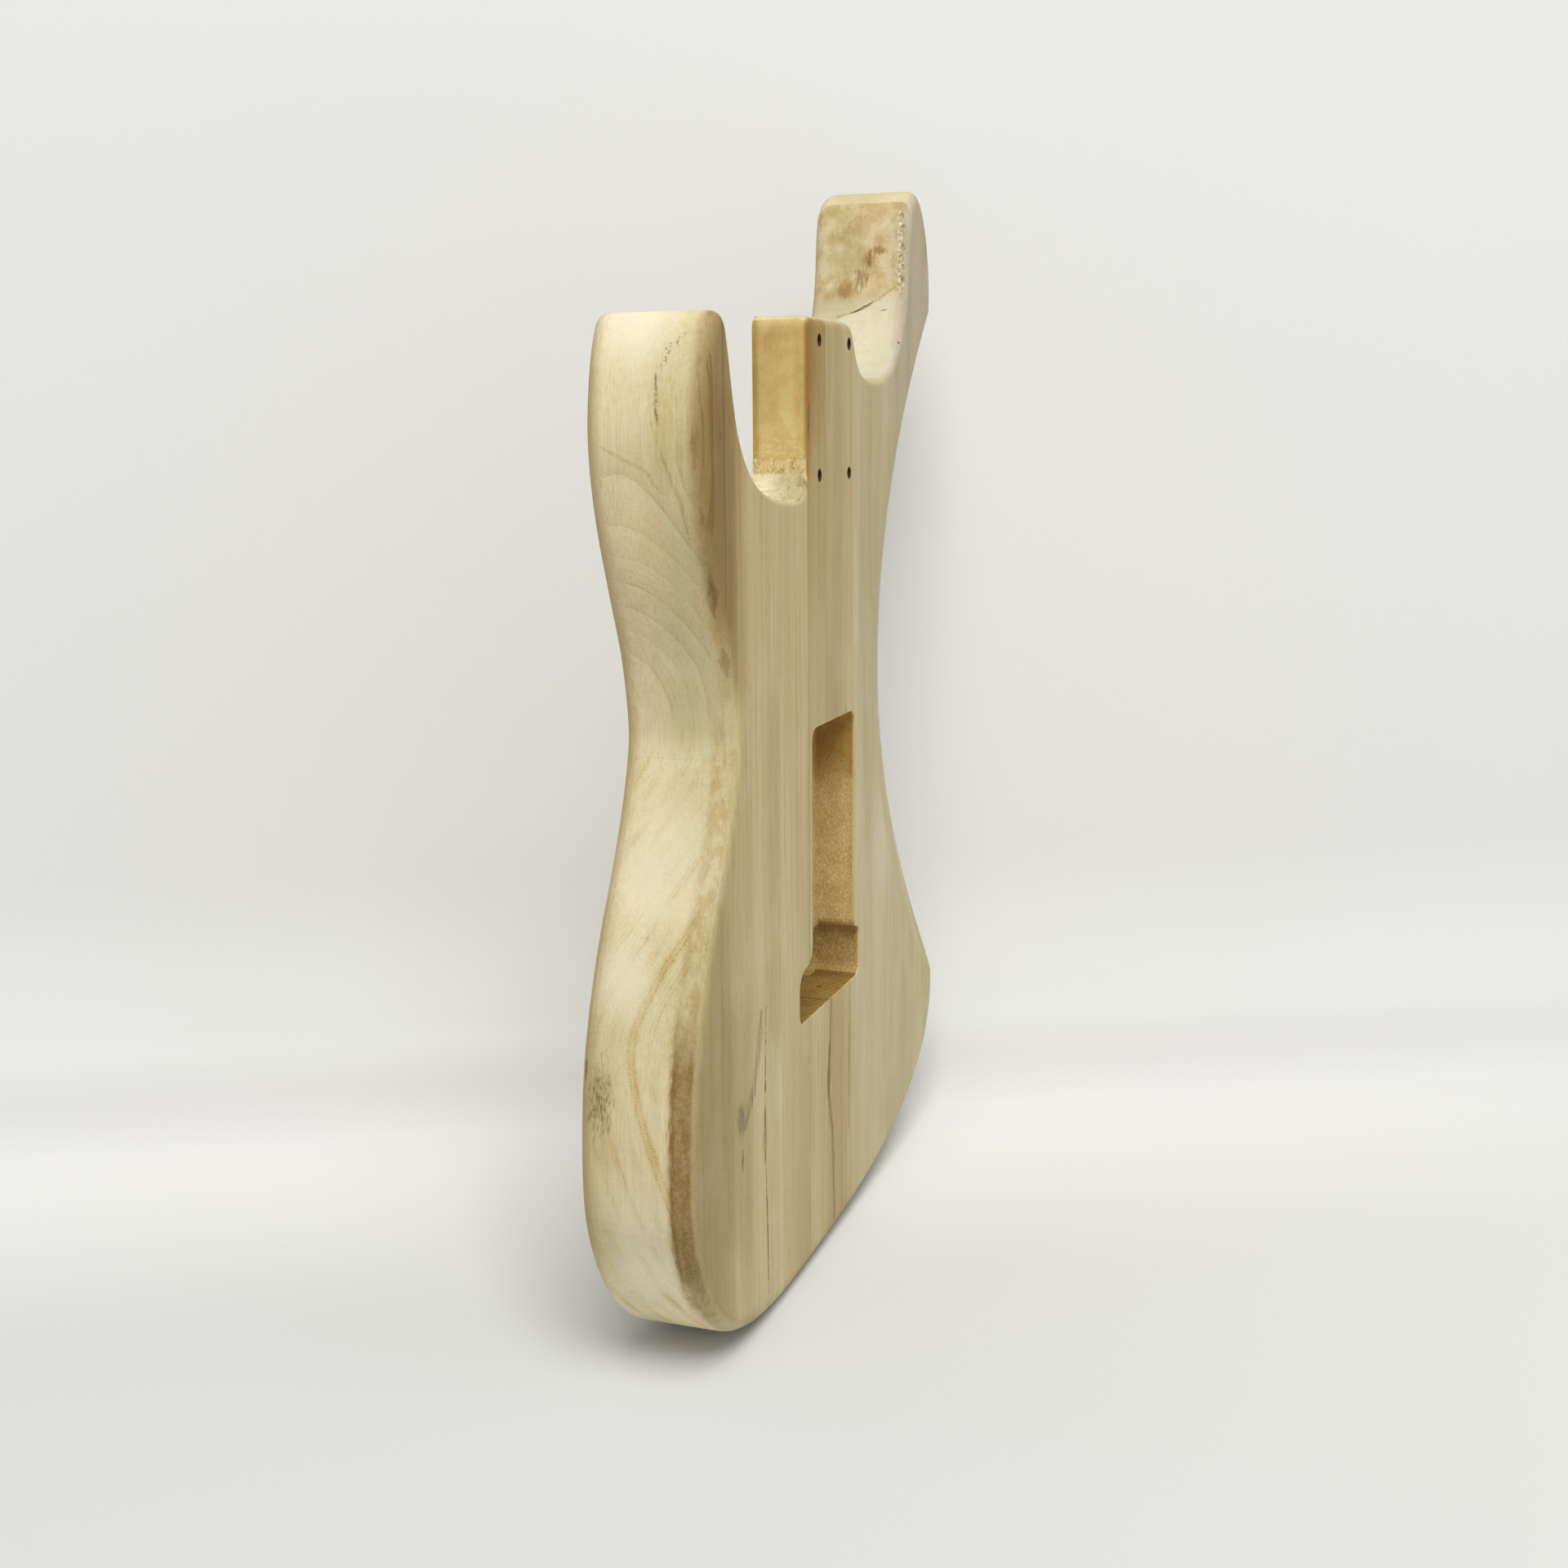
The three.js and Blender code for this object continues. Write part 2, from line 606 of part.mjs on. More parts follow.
function controlCavity() {
  const corners = CONTROL_SHARES.map(([xShare, zShare]) => [
    xShare * HALF_WIDTH, zShare * LIP_HEIGHT, CONTROL_CAVITY_RADIUS,
  ]);
  return faceCutter(roundedShape(corners), FRONT_Y - CONTROL_CAVITY_DEPTH, FRONT_Y + OVERRUN);
}

function jackRoute() {
  const [xShare, zShare] = JACK_CENTRE_SHARES;
  const centre = new THREE.Vector2(xShare * HALF_WIDTH, zShare * LIP_HEIGHT);
  return rectangleCutter(JACK_ROUTE_LENGTH, JACK_ROUTE_WIDTH, JACK_ROUTE_RADIUS,
    JACK_ROUTE_TILT, centre, FRONT_Y - JACK_ROUTE_DEPTH, FRONT_Y + OVERRUN);
}

// The whole body before it is divided into planks
function wholeBody() {
  return [
    bellyContour(),
    forearmContour(),
    neckPocket(),
    neckScrewHoles(),
    springCavity(),
    wireHole(),
    pickupRoute(NECK_PICKUP_DROP, 0),
    pickupRoute(MIDDLE_PICKUP_DROP, 0),
    pickupRoute(BRIDGE_PICKUP_DROP, BRIDGE_PICKUP_TILT),
    controlCavity(),
    jackRoute(),
  ].reduce((body, cutter) => body.subtract(cutter), roundedSlab());
}

// Seams between the planks, and the heights that divide a plank from its continuation
function plankPlaces() {
  const heelSeam = -TREBLE_HEEL_EDGE;
  const centreSeam = heelSeam + HEEL_STRIP_WIDTH;
  const bassSeam = centreSeam + CENTRE_PLANK_WIDTH;
  const trebleOuterSeam = heelSeam - TREBLE_INNER_WIDTH;
  const bassOuterSeam = bassSeam + BASS_INNER_WIDTH;
  return {
    trebleEdge: -HALF_WIDTH - OVERRUN,
    trebleWing: THREE.MathUtils.lerp(trebleOuterSeam, -HALF_WIDTH, OUTER_PLANK_SHARE),
    trebleOuter: trebleOuterSeam,
    heel: heelSeam,
    centre: centreSeam,
    bass: bassSeam,
    bassOuter: bassOuterSeam,
    bassWing: THREE.MathUtils.lerp(bassOuterSeam, HALF_WIDTH, OUTER_PLANK_SHARE),
    bassEdge: HALF_WIDTH + OVERRUN,
    bottom: -OVERRUN,
    slot: (BLOCK_TOP_Z + BLOCK_BOTTOM_Z) / 2,
    waist: WAIST_SHARE * LIP_HEIGHT,
    top: BASS_TIP_Z + OVERRUN,
  };
}

// Each plank: name, the seams on its treble and bass sides, its lower and upper limits, colour
function plankList() {
  const at = plankPlaces();
  return [
    ['treble_horn_wing', at.trebleEdge, at.trebleWing, at.waist, at.top, '#b9aa83'],
    ['treble_bout_wing', at.trebleEdge, at.trebleWing, at.bottom, at.waist, '#cbbf96'],
    ['treble_outer_plank', at.trebleWing, at.trebleOuter, at.bottom, at.top, '#b8ab84'],
    ['treble_inner_plank', at.trebleOuter, at.heel, at.bottom, at.top, '#b5a981'],
    ['heel_strip', at.heel, at.centre, at.slot, at.top, '#a8946a'],
    ['heel_strip_tail', at.heel, at.centre, at.bottom, at.slot, '#b0a077'],
    ['centre_plank', at.centre, at.bass, at.slot, at.top, '#b4a682'],
    ['centre_plank_tail', at.centre, at.bass, at.bottom, at.slot, '#b3a57f'],
    ['bass_inner_plank', at.bass, at.bassOuter, at.bottom, at.top, '#bbae8a'],
    ['bass_outer_plank', at.bassOuter, at.bassWing, at.bottom, at.top, '#c2b795'],
    ['bass_horn_wing', at.bassWing, at.bassEdge, at.waist, at.top, '#cabf9d'],
    ['bass_bout_wing', at.bassWing, at.bassEdge, at.bottom, at.waist, '#c6bb98'],
  ];
}

function plankMesh(body, [name, trebleX, bassX, lowerZ, upperZ, colour]) {
  const slice = boxSolid(
    new THREE.Vector3(trebleX, BACK_Y - OVERRUN, lowerZ),
    new THREE.Vector3(bassX, FRONT_Y + OVERRUN, upperZ));
  const material = new THREE.MeshStandardMaterial({
    color: new THREE.Color(colour),
    roughness: 0.78,
    metalness: 0,
  });
  const mesh = new THREE.Mesh(toGeometry(body.intersect(slice)), material);
  mesh.name = name;
  return mesh;
}

function guitarBody() {
  const group = new THREE.Group();
  const body = wholeBody();
  plankList().forEach((plank) => group.add(plankMesh(body, plank)));
  return group;
}

export default guitarBody();
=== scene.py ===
import math
import random

import bmesh
import bpy
from mathutils import Matrix, Vector
from mathutils.bvhtree import BVHTree


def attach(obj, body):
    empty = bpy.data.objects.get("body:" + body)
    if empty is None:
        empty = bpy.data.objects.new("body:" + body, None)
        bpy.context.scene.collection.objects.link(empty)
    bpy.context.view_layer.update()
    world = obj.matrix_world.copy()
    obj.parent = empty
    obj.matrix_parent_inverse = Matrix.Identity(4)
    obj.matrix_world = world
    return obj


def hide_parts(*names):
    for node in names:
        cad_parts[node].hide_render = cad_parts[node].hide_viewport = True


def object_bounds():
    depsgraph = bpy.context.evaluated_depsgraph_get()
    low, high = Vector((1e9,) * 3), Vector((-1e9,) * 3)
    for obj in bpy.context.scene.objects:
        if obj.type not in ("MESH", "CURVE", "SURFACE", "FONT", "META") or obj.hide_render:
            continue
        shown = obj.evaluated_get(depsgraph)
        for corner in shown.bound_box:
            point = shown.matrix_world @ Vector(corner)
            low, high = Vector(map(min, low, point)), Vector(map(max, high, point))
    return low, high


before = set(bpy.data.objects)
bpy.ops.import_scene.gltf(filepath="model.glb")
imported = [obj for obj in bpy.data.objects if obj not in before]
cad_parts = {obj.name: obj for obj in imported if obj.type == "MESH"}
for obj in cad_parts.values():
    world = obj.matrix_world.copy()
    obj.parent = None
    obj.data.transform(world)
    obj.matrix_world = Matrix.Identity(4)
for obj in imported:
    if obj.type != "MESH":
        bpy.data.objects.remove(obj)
CAD_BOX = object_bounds()

MM = 0.001

# Camera, solved from the photograph: its place in metres, and its axes
CAMERA_PLACE = Vector((-0.72072, -0.252175, 0.33874))
CAMERA_RIGHT = Vector((0.32892, -0.94434, -0.00652))
CAMERA_UP = Vector((0.17748, 0.05504, 0.98258))
CAMERA_BACK = Vector((-0.92753, -0.32435, 0.18570))
LENS_MM = 43.43
SENSOR_MM = 36

# The slab in millimetres: faces, glue lines that show, belly contour, routes and neck screw holes
BACK = CAD_BOX[0][1] / MM
FRONT = CAD_BOX[1][1] / MM
HEEL_FACE = -33.5
STRIP_SEAM = -12.0
BELLY_START = (42, 50)
BELLY_DEPTH = 16
ROUTED_INSET = 0.8
ROUTED_END_X = 48.0
NECK_HOLES = [(x, z) for x in (-19.05, 19.05) for z in (371.0, 320.2)]
NECK_HOLE_RADIUS = 2.1
MARK_Y = -22.2

# Growth rings: millimetres apart, how far they wander, and how sharp their dark lines are
RING_SPACING = 5.5
RING_WARP = 10.0
RING_SHARPNESS = 2.0

BUMP_STRENGTH = 0.35
BUMP_DISTANCE = 0.4 * MM
WOOD_SPECULAR = 0.28
SCREEN_GAMMA = 2.2

# Sockets of the colour mix node
MIX_FACTOR, MIX_FIRST, MIX_SECOND, MIX_RESULT = 0, 6, 7, 2


def srgb(red, green, blue):
    """A colour as it looks on screen, 0 to 255, as the linear colour that a shader takes."""
    def linear(value):
        share = value / 255
        return share / 12.92 if share <= 0.04045 else ((share + 0.055) / 1.055) ** 2.4
    return (linear(red), linear(green), linear(blue), 1.0)


def back_places(*places):
    """Places on the back, from their x and z."""
    return [(x, MARK_Y, z) for x, z in places]


class Shader:
    """A material and short names for the nodes that it is made of."""

    def __init__(self, name):
        self.material = bpy.data.materials.new(name)
        self.material.use_nodes = True
        self.tree = self.material.node_tree
        self.tree.nodes.clear()

    def feed(self, socket, value):
        if isinstance(value, bpy.types.NodeSocket):
            self.tree.links.new(value, socket)
        else:
            socket.default_value = value

    def add(self, kind, inputs=None, **settings):
        node = self.tree.nodes.new("ShaderNode" + kind)
        for name, value in settings.items():
            setattr(node, name, value)
        for name, value in (inputs or {}).items():
            self.feed(node.inputs[name], value)
        return node

    def math(self, operation, a, b=0.0, c=0.0):
        return self.add("Math", {0: a, 1: b, 2: c}, operation=operation).outputs[0]

    def scale_add(self, a, b, c):
        return self.math("MULTIPLY_ADD", a, b, c)

    def less(self, a, b):
        return self.math("SUBTRACT", a, b)

    def vector_math(self, operation, a, b=(0.0, 0.0, 0.0)):
        node = self.add("VectorMath", {0: a, 1: b}, operation=operation)
        return node.outputs["Value" if operation in ("LENGTH", "DOT_PRODUCT") else "Vector"]

    def flat_length(self, a, b):
        flat = self.add("CombineXYZ", {0: a, 1: b})
        return self.vector_math("LENGTH", flat.outputs[0])

    def step(self, value, low, high):
        """0 below low, 1 above high and smooth between; the other way round where low is higher."""
        node = self.add("MapRange", {"Value": value, "From Min": low, "From Max": high},
                        interpolation_type="SMOOTHSTEP")
        return node.outputs["Result"]

    def remap(self, value, low, high=1.0):
        node = self.add("MapRange", {"Value": value, "To Min": low, "To Max": high})
        return node.outputs["Result"]

    def mix(self, factor, first, second, blend="MIX"):
        node = self.add("Mix", {MIX_FACTOR: factor, MIX_FIRST: first, MIX_SECOND: second},
                        data_type="RGBA", blend_type=blend)
        return node.outputs[MIX_RESULT]

    def noise(self, vector, detail=2.0, roughness=0.5, colour=False):
        node = self.add("TexNoise", {
            "Vector": vector, "Scale": 1.0, "Detail": detail, "Roughness": roughness})
        return node.outputs["Color" if colour else "Fac"]

    def all_of(self, *masks):
        product = masks[0]
        for mask in masks[1:]:
            product = self.math("MULTIPLY", product, mask)
        return product

    def output(self, surface):
        node = self.add("OutputMaterial")
        self.tree.links.new(surface, node.inputs[0])
        return self.material


class Wood(Shader):
    """Raw sanded wood. Places are in millimetres in the part's frame; the fibres run along Z."""

    def __init__(self, name, seed):
        super().__init__(name)
        metres = self.add("TexCoord").outputs["Object"]
        self.place = self.vector_math("MULTIPLY", metres, (1 / MM, 1 / MM, 1 / MM))
        self.x, self.y, self.z = self.add("SeparateXYZ", {0: self.place}).outputs
        self.seed = seed
        self.colour = None
        self.height = None
        self.broken = self.less(self.grain(0.9, 0.16, 21.0, detail=4.0), 0.5)
        self.specks = self.step(self.mottle(1.5, 33.0), 0.4, 0.62)
        belly = self.all_of(self.step(self.x, *BELLY_START), self.past_back(BELLY_DEPTH, 0))
        self.on_back = self.math("MAXIMUM", self.past_back(1.8, 0.3), belly)

    def grain(self, across, along, shift, **settings):
        """Noise with so many waves a millimetre across the fibres and along them."""
        scaled = self.vector_math("MULTIPLY", self.place, (across, across, along))
        moved = self.vector_math("ADD", scaled, (self.seed * 7.3 + shift, self.seed * 3.1 - shift, shift))
        return self.noise(moved, **settings)

    def mottle(self, scale, shift, **settings):
        return self.grain(scale, scale, shift, **settings)

    # Masks
    def past_back(self, low, high, value=None):
        """0 at one distance in from the back face and 1 at the other, of y or of another value."""
        return self.step(self.y if value is None else value, BACK + low, BACK + high)

    def band(self, axis, low, high, soft=0.3):
        """A range of one axis, with soft ends."""
        return self.all_of(self.step(axis, low - soft, low + soft), self.step(axis, high + soft, high - soft))

    def line(self, value, at, width):
        """A thin line where a value passes a number."""
        apart = self.math("ABSOLUTE", self.less(value, at))
        return self.step(apart, width, 0.0)

    def falloff(self, reach, ragged):
        return self.step(self.scale_add(self.broken, ragged, reach), 1.0, 0.2)

    def blob(self, centre, radii, ragged=0.5):
        """A soft patch about a place, with a reach of its own along each axis."""
        away = self.vector_math("SUBTRACT", self.place, centre)
        scaled = self.vector_math("MULTIPLY", away, tuple(1 / radius for radius in radii))
        return self.falloff(self.vector_math("LENGTH", scaled), ragged)

    def stroke(self, start, end, girths, ragged):
        """A soft patch along a straight line, as wide at each end as its girth says."""
        length = (end - start).length
        along = (end - start) / length
        away = self.vector_math("SUBTRACT", self.place, tuple(start))
        reach = self.vector_math("DOT_PRODUCT", away, tuple(along))
        held = self.math("MINIMUM", self.math("MAXIMUM", reach, 0.0), length)
        spine = self.add("VectorMath", {0: tuple(along), "Scale": held}, operation="SCALE")
        distance = self.vector_math("LENGTH", self.vector_math("SUBTRACT", away, spine.outputs[0]))
        girth = self.scale_add(held, (girths[1] - girths[0]) / length, girths[0])
        return self.falloff(self.math("DIVIDE", distance, girth), ragged)

    def trail(self, places, radius, ragged=0.8, blunt=0.3):
        """A mark along a line of places, thinner towards its ends."""
        places = [Vector(place) for place in places]
        if len(places) == 2:
            places.insert(1, (places[0] + places[1]) / 2)
        run = [0.0]
        for start, end in zip(places, places[1:]):
            run.append(run[-1] + (end - start).length)
        swells = [math.sin(math.pi * reach / run[-1]) ** 0.6 for reach in run]
        girths = [radius * (blunt + (1 - blunt) * swell) for swell in swells]
        mask = None
        for index in range(len(places) - 1):
            part = self.stroke(places[index], places[index + 1], girths[index:index + 2], ragged)
            mask = part if mask is None else self.math("MAXIMUM", mask, part)
        return mask

    # What the product of some masks does to the wood
    def paint(self, tone, strength, *masks):
        """Lays a tone over the wood."""
        self.colour = self.mix(self.all_of(*masks, strength), self.colour, tone)

    def tint(self, ratios, strength, *masks):
        """Darkens or lightens the wood by ratios as they look on screen, and leaves its grain."""
        factors = tuple(ratio ** SCREEN_GAMMA for ratio in ratios) + (1.0,)
        self.colour = self.mix(self.all_of(*masks, strength), self.colour, factors, "MULTIPLY")

    def lift(self, amount, *masks):
        self.height = self.scale_add(self.all_of(*masks), amount, self.height)

    def rings(self, heart):
        """Growth rings about an upright axis near the plank: a phase that counts up by one a ring."""
        wave = self.grain(0.011, 0.0045, 1.7, colour=True)
        pushed = self.vector_math("SUBTRACT", wave, (0.5, 0.5, 0.5))
        moved = self.vector_math("MULTIPLY", pushed, (RING_WARP, RING_WARP, 0.0))
        split = self.add("SeparateXYZ", {0: self.vector_math("ADD", self.place, moved)})
        across = self.less(split.outputs[0], heart[0])
        through = self.less(split.outputs[1], heart[1])
        return self.math("DIVIDE", self.flat_length(across, through), RING_SPACING)

    def chance(self, phase):
        """A number between 0 and 1 for each ring."""
        number = self.math("ADD", self.math("FLOOR", phase), self.seed)
        return self.add("TexWhiteNoise", {"W": number}, noise_dimensions="1D").outputs["Value"]

    def ring_lines(self, phase):
        """A dark line at the end of each ring, stronger in some rings than in others."""
        share = self.math("FRACT", phase)
        rising = self.math("POWER", share, RING_SHARPNESS)
        return self.all_of(rising, self.step(share, 1.0, 0.9), self.remap(self.chance(phase), 0.25))

    def finish(self, roughness):
        bump = self.add("Bump", {
            "Strength": BUMP_STRENGTH, "Distance": BUMP_DISTANCE, "Height": self.height})
        surface = self.add("BsdfPrincipled", {
            "Base Color": self.colour, "Roughness": roughness, "Normal": bump.outputs[0],
            "Specular IOR Level": WOOD_SPECULAR})
        return self.output(surface.outputs[0])


# Wood tones as they look in full light
PALE = srgb(229, 213, 170)
# CREAM is a pale wood tone, also laid as painted sheen on bright faces
CREAM = srgb(240, 231, 203)
LINE = srgb(188, 161, 108)
GREENISH = srgb(212, 200, 154)
PINKISH = srgb(209, 183, 146)
BROWN = srgb(150, 118, 72)
DARK = srgb(84, 62, 38)
GREY = srgb(128, 116, 88)
STAIN = srgb(112, 92, 60)
GOLD = srgb(210, 177, 106)
ROUTED = srgb(203, 173, 110)
# Painted glint for torn fibres, not a wood tone
SPARKLE = srgb(238, 216, 158)
# Painted shade for the inside of the neck screw bores
PIT = srgb(52, 38, 22)
FLOOR_LIGHT = srgb(244, 236, 206)
FOOT_LIGHT = srgb(232, 212, 150)
FOOT_PIT = srgb(158, 128, 70)
CHIPPED = srgb(246, 238, 220)
FIBRE_DULL = srgb(214, 187, 128)


def plank_wood(name, seed, heart, striped, marks):
    """One plank's wood: rings about its heart, streaks, fibres and pores, and then its own marks."""
    wood = Wood(name, seed)
    wide = wood.grain(0.045, 0.003, 3.0, detail=3.0)
    streaks = wood.grain(0.22, 0.004, 9.0, detail=3.0)
    fibres = wood.grain(1.3, 0.02, 5.0, detail=4.0, roughness=0.6)
    fine = wood.grain(4.5, 0.11, 12.0, detail=3.0, roughness=0.6)
    clouds = wood.grain(0.05, 0.03, 30.0, detail=3.0)
    sanding = wood.grain(0.35, 1.7, 44.0, detail=3.0, roughness=0.65)
    phase = wood.scale_add(streaks, 2.2, wood.rings(heart))
    broad_lines = wood.ring_lines(phase)
    thin_lines = wood.ring_lines(wood.scale_add(phase, 3.3, 0.4))
    if side_arcs in marks:
        straight = wood.past_back(6, 2)
        broad_lines = wood.all_of(broad_lines, straight)
        thin_lines = wood.all_of(thin_lines, wood.remap(straight, 0.3))

    wood.colour = wood.mix(wood.step(wide, 0.38, 0.66), PALE, GREENISH)
    wood.height = wood.scale_add(fine, 0.5, wood.math("MULTIPLY", fibres, 0.6))
    wood.paint(PINKISH, 0.28, wood.step(streaks, 0.5, 0.76))
    wood.paint(CREAM, 0.35, wood.step(clouds, 0.45, 0.75))
    plain = wood.remap(wood.on_back, 1.0, striped)
    wood.paint(LINE, wood.remap(streaks, 0.05, 0.4), broad_lines, plain)
    wood.paint(LINE, wood.remap(wide, 0.15, 0.45), thin_lines, plain)
    wood.paint(LINE, 0.32, wood.step(fibres, 0.42, 0.75))
    pores = wood.all_of(wood.step(fine, 0.6, 0.74), wood.remap(broad_lines, 0.35))
    wood.paint(BROWN, 0.25, pores)
    wood.lift(-0.8, pores)
    wood.tint((0.93, 0.92, 0.89), 0.5, wood.step(sanding, 0.5, 0.72))
    wood.lift(0.35, sanding)
    wood.tint((0.985, 0.97, 0.925), 1.0, wood.on_back)
    wood.tint((0.97, 0.965, 0.95), 1.0, wood.on_back, wood.step(wood.z, 150, 290))
    stripes = wood.grain(0.42, 0.007, 66.0, detail=4.0, roughness=0.65)
    groups = wood.step(wood.grain(0.03, 0.008, 68.0, detail=3.0), 0.34, 0.62)
    grouped = wood.all_of(wood.on_back, groups)
    wood.tint((0.9, 0.88, 0.84), striped, grouped, wood.step(stripes, 0.5, 0.66))
    wood.tint((1.04, 1.04, 1.03), striped, grouped, wood.step(stripes, 0.44, 0.34))
    for mark in marks:
        mark(wood)
    return wood.finish(wood.remap(fibres, 0.56, 0.78))


def routed(wood, low_z, high_z, low_y, low_x=-103.0, torn_top=400.0):
    """The walls and floors that a cutter left: golden, with torn fibres that carry painted glints."""
    inside = wood.all_of(wood.band(wood.z, low_z, high_z), wood.band(wood.x, low_x, ROUTED_END_X),
                         wood.band(wood.y, low_y, FRONT - ROUTED_INSET))
    torn = wood.grain(1.5, 0.7, 40.0, detail=4.0, roughness=0.7)
    cloudy = wood.mottle(0.12, 42.0, detail=3.0)
    rough = wood.all_of(inside, wood.step(wood.z, torn_top + 14, torn_top - 14))
    wood.paint(ROUTED, 0.85, inside)
    wood.tint((0.92, 0.89, 0.82), 0.7, inside, wood.step(cloudy, 0.42, 0.6))
    wood.tint((0.86, 0.8, 0.68), 0.8, inside, wood.step(torn, 0.5, 0.36))
    # SPARKLE: painted glints on the torn fibres near the top
    wood.paint(SPARKLE, 0.75, rough, wood.step(torn, 0.55, 0.63))
    wood.lift(4.0, torn, rough)


def back_cavities(wood):
    """The spring cavity and the block slot below it, which is darker, with painted shade on the slot's top
    wall that faces down.
    """
    routed(wood, 100, 230, BACK + ROUTED_INSET, torn_top=196.0)
    inside = wood.all_of(wood.band(wood.y, BACK + ROUTED_INSET, FRONT - ROUTED_INSET),
                         wood.step(wood.x, ROUTED_END_X + 0.3, ROUTED_END_X - 0.3))
    wood.tint((0.93, 0.9, 0.82), 1.0, inside, wood.band(wood.z, 105, 128, 1.0))
    # Darker band where the slot's top wall faces down: painted shade
    wood.tint((0.93, 0.9, 0.86), 1.0, inside, wood.band(wood.z, 124.5, 129.5, 1.0))
    end_wall = wood.all_of(inside, wood.band(wood.z, 105, 107.2))
    wood.tint((0.89, 0.88, 0.82), 1.0, end_wall)
    bowed = wood.scale_add(wood.x, 0.35, wood.scale_add(wood.broken, 1.4, wood.y))
    arc = wood.math("FRACT", wood.math("DIVIDE", bowed, 3.1))
    wood.tint((0.88, 0.83, 0.74), 0.8, end_wall, wood.line(arc, 0.5, 0.3))
    wood.tint((0.84, 0.8, 0.7), 0.9, end_wall, wood.step(wood.x, 16, 32))
    wood.tint((0.92, 0.87, 0.74), 1.0, inside, wood.band(wood.z, 196, 226, 14))
    wood.tint((1.07, 1.09, 1.13), 1.0, inside, wood.band(wood.z, 131, 194, 3))


def front_routes(wood):
    """The control cavity and the pickup routes."""
    routed(wood, 30, 301, -3.0)


def neck_pocket(wood):
    """The pocket between its two walls."""
    routed(wood, 303, 380, -1.0, HEEL_FACE + 2.0)


def neck_holes(wood):
    """Painted shade inside the bores, with ragged rims."""
    for x, z in NECK_HOLES:
        away = wood.vector_math("SUBTRACT", wood.place, (x, 0.0, z))
        flat = wood.vector_math("LENGTH", wood.vector_math("MULTIPLY", away, (1.0, 0.0, 1.0)))
        burr = wood.scale_add(wood.broken, 0.7, flat)
        bore = wood.step(burr, NECK_HOLE_RADIUS + 0.6, NECK_HOLE_RADIUS + 0.25)
        # PIT: near-black painted shade on the bore walls
        wood.paint(PIT, 0.95, bore, wood.step(wood.y, -1, -1.4))


def horn_arcs(wood, flank, wobble, speckled, wide_gaps):
    """Rings as arcs about an axis that leans, each darker just above its line."""
    across = wood.less(wood.x, wood.scale_add(wood.z, -0.039, -38.4))
    through = wood.less(wood.y, wood.scale_add(wood.z, -0.206, 77.0))
    reach = wood.less(wood.flat_length(across, through), 72.0)
    phase = wood.math("DIVIDE", wood.scale_add(wobble, 0.7, reach), 3.1)
    horn = wood.all_of(flank, wood.band(wood.z, 238, 332, 9))
    share = wood.math("FRACT", phase)
    luck = wood.remap(wood.chance(phase), 0.3)
    strength = wood.all_of(luck, wood.step(wide_gaps, 0.3, 0.6))
    above = wood.math("POWER", wood.less(1.0, share), 2.4)
    wood.tint((0.92, 0.9, 0.86), 0.45, horn, above, luck)
    wood.tint((1.03, 1.03, 1.05), 0.5, horn, wood.step(share, 0.55, 0.95))
    wood.tint((0.86, 0.8, 0.68), 0.5, horn, wood.line(share, 0.03, 0.12), speckled, strength)
    finer = wood.math("FRACT", wood.math("MULTIPLY", phase, 3.7))
    wood.tint((0.95, 0.93, 0.88), 0.5, horn, wood.line(finer, 0.5, 0.3), speckled,
              wood.step(wide_gaps, 0.4, 0.65))


def bout_bow(wood, flank, wobble, speckled, wide_gaps):
    """Rings as long golden bows that open up and down from the bout's middle."""
    along = wood.less(wood.z, 133.0)
    bow = wood.math("SQRT", wood.scale_add(along, along, 196.0))
    level = wood.scale_add(bow, 0.5, wood.scale_add(along, 0.12, wood.y))
    waved = wood.scale_add(wobble, 5.0, level)
    phase = wood.math("DIVIDE", wood.less(waved, 16.0), 7.3)
    bout = wood.all_of(flank, wood.step(wood.z, 236, 212))
    shifted = wood.math("ADD", phase, 0.5)
    share = wood.math("FRACT", shifted)
    gaps = wood.remap(wood.step(wide_gaps, 0.38, 0.62), 0.15)
    strength = wood.all_of(wood.remap(wood.chance(shifted), 0.3), gaps)
    golden = (0.87, 0.8, 0.63)
    for at, width, weight in ((0.5, 0.13, 0.85), (0.72, 0.09, 0.45)):
        wood.tint(golden, weight, bout, wood.line(share, at, width), speckled, strength)
    wood.tint((0.95, 0.92, 0.84), 0.9, bout, wood.line(share, 0.58, 0.36), strength)
    shaken = wood.scale_add(wood.broken, 1.6, waved)
    middle = wood.all_of(bout, wood.step(wood.z, 195, 170), wood.step(wood.z, 44, 60))
    for at, width in ((8.0, 1.1), (10.6, 0.8)):
        wood.tint(golden, 0.6, middle, wood.line(shaken, at, width), wood.specks)
    wood.tint((0.955, 0.925, 0.85), 0.75, middle, wood.line(shaken, 9.3, 3.6))
    feather = wood.all_of(bout, wood.band(wood.z, 140, 200, 18))
    finer = wood.math("FRACT", wood.math("MULTIPLY", phase, 4.3))
    wood.tint((0.94, 0.92, 0.86), 0.35, bout, wood.line(finer, 0.5, 0.3), speckled, gaps)
    wood.tint((0.93, 0.9, 0.82), 0.5, feather, wood.line(finer, 0.5, 0.35), speckled)


def side_arcs(wood):
    """Growth rings where they come out on the treble edge: arcs on the horn and a bow on the bout."""
    wobble = wood.less(wood.grain(0.05, 0.014, 60.0, detail=3.0), 0.5)
    flank = wood.all_of(wood.band(wood.y, BACK + 7, FRONT - 7, 3.0), wood.step(wood.x, -96, -104))
    speckled = wood.remap(wood.specks, 0.2)
    wide_gaps = wood.mottle(0.06, 62.0)
    horn_arcs(wood, flank, wobble, speckled, wide_gaps)
    bout_bow(wood, flank, wobble, speckled, wide_gaps)


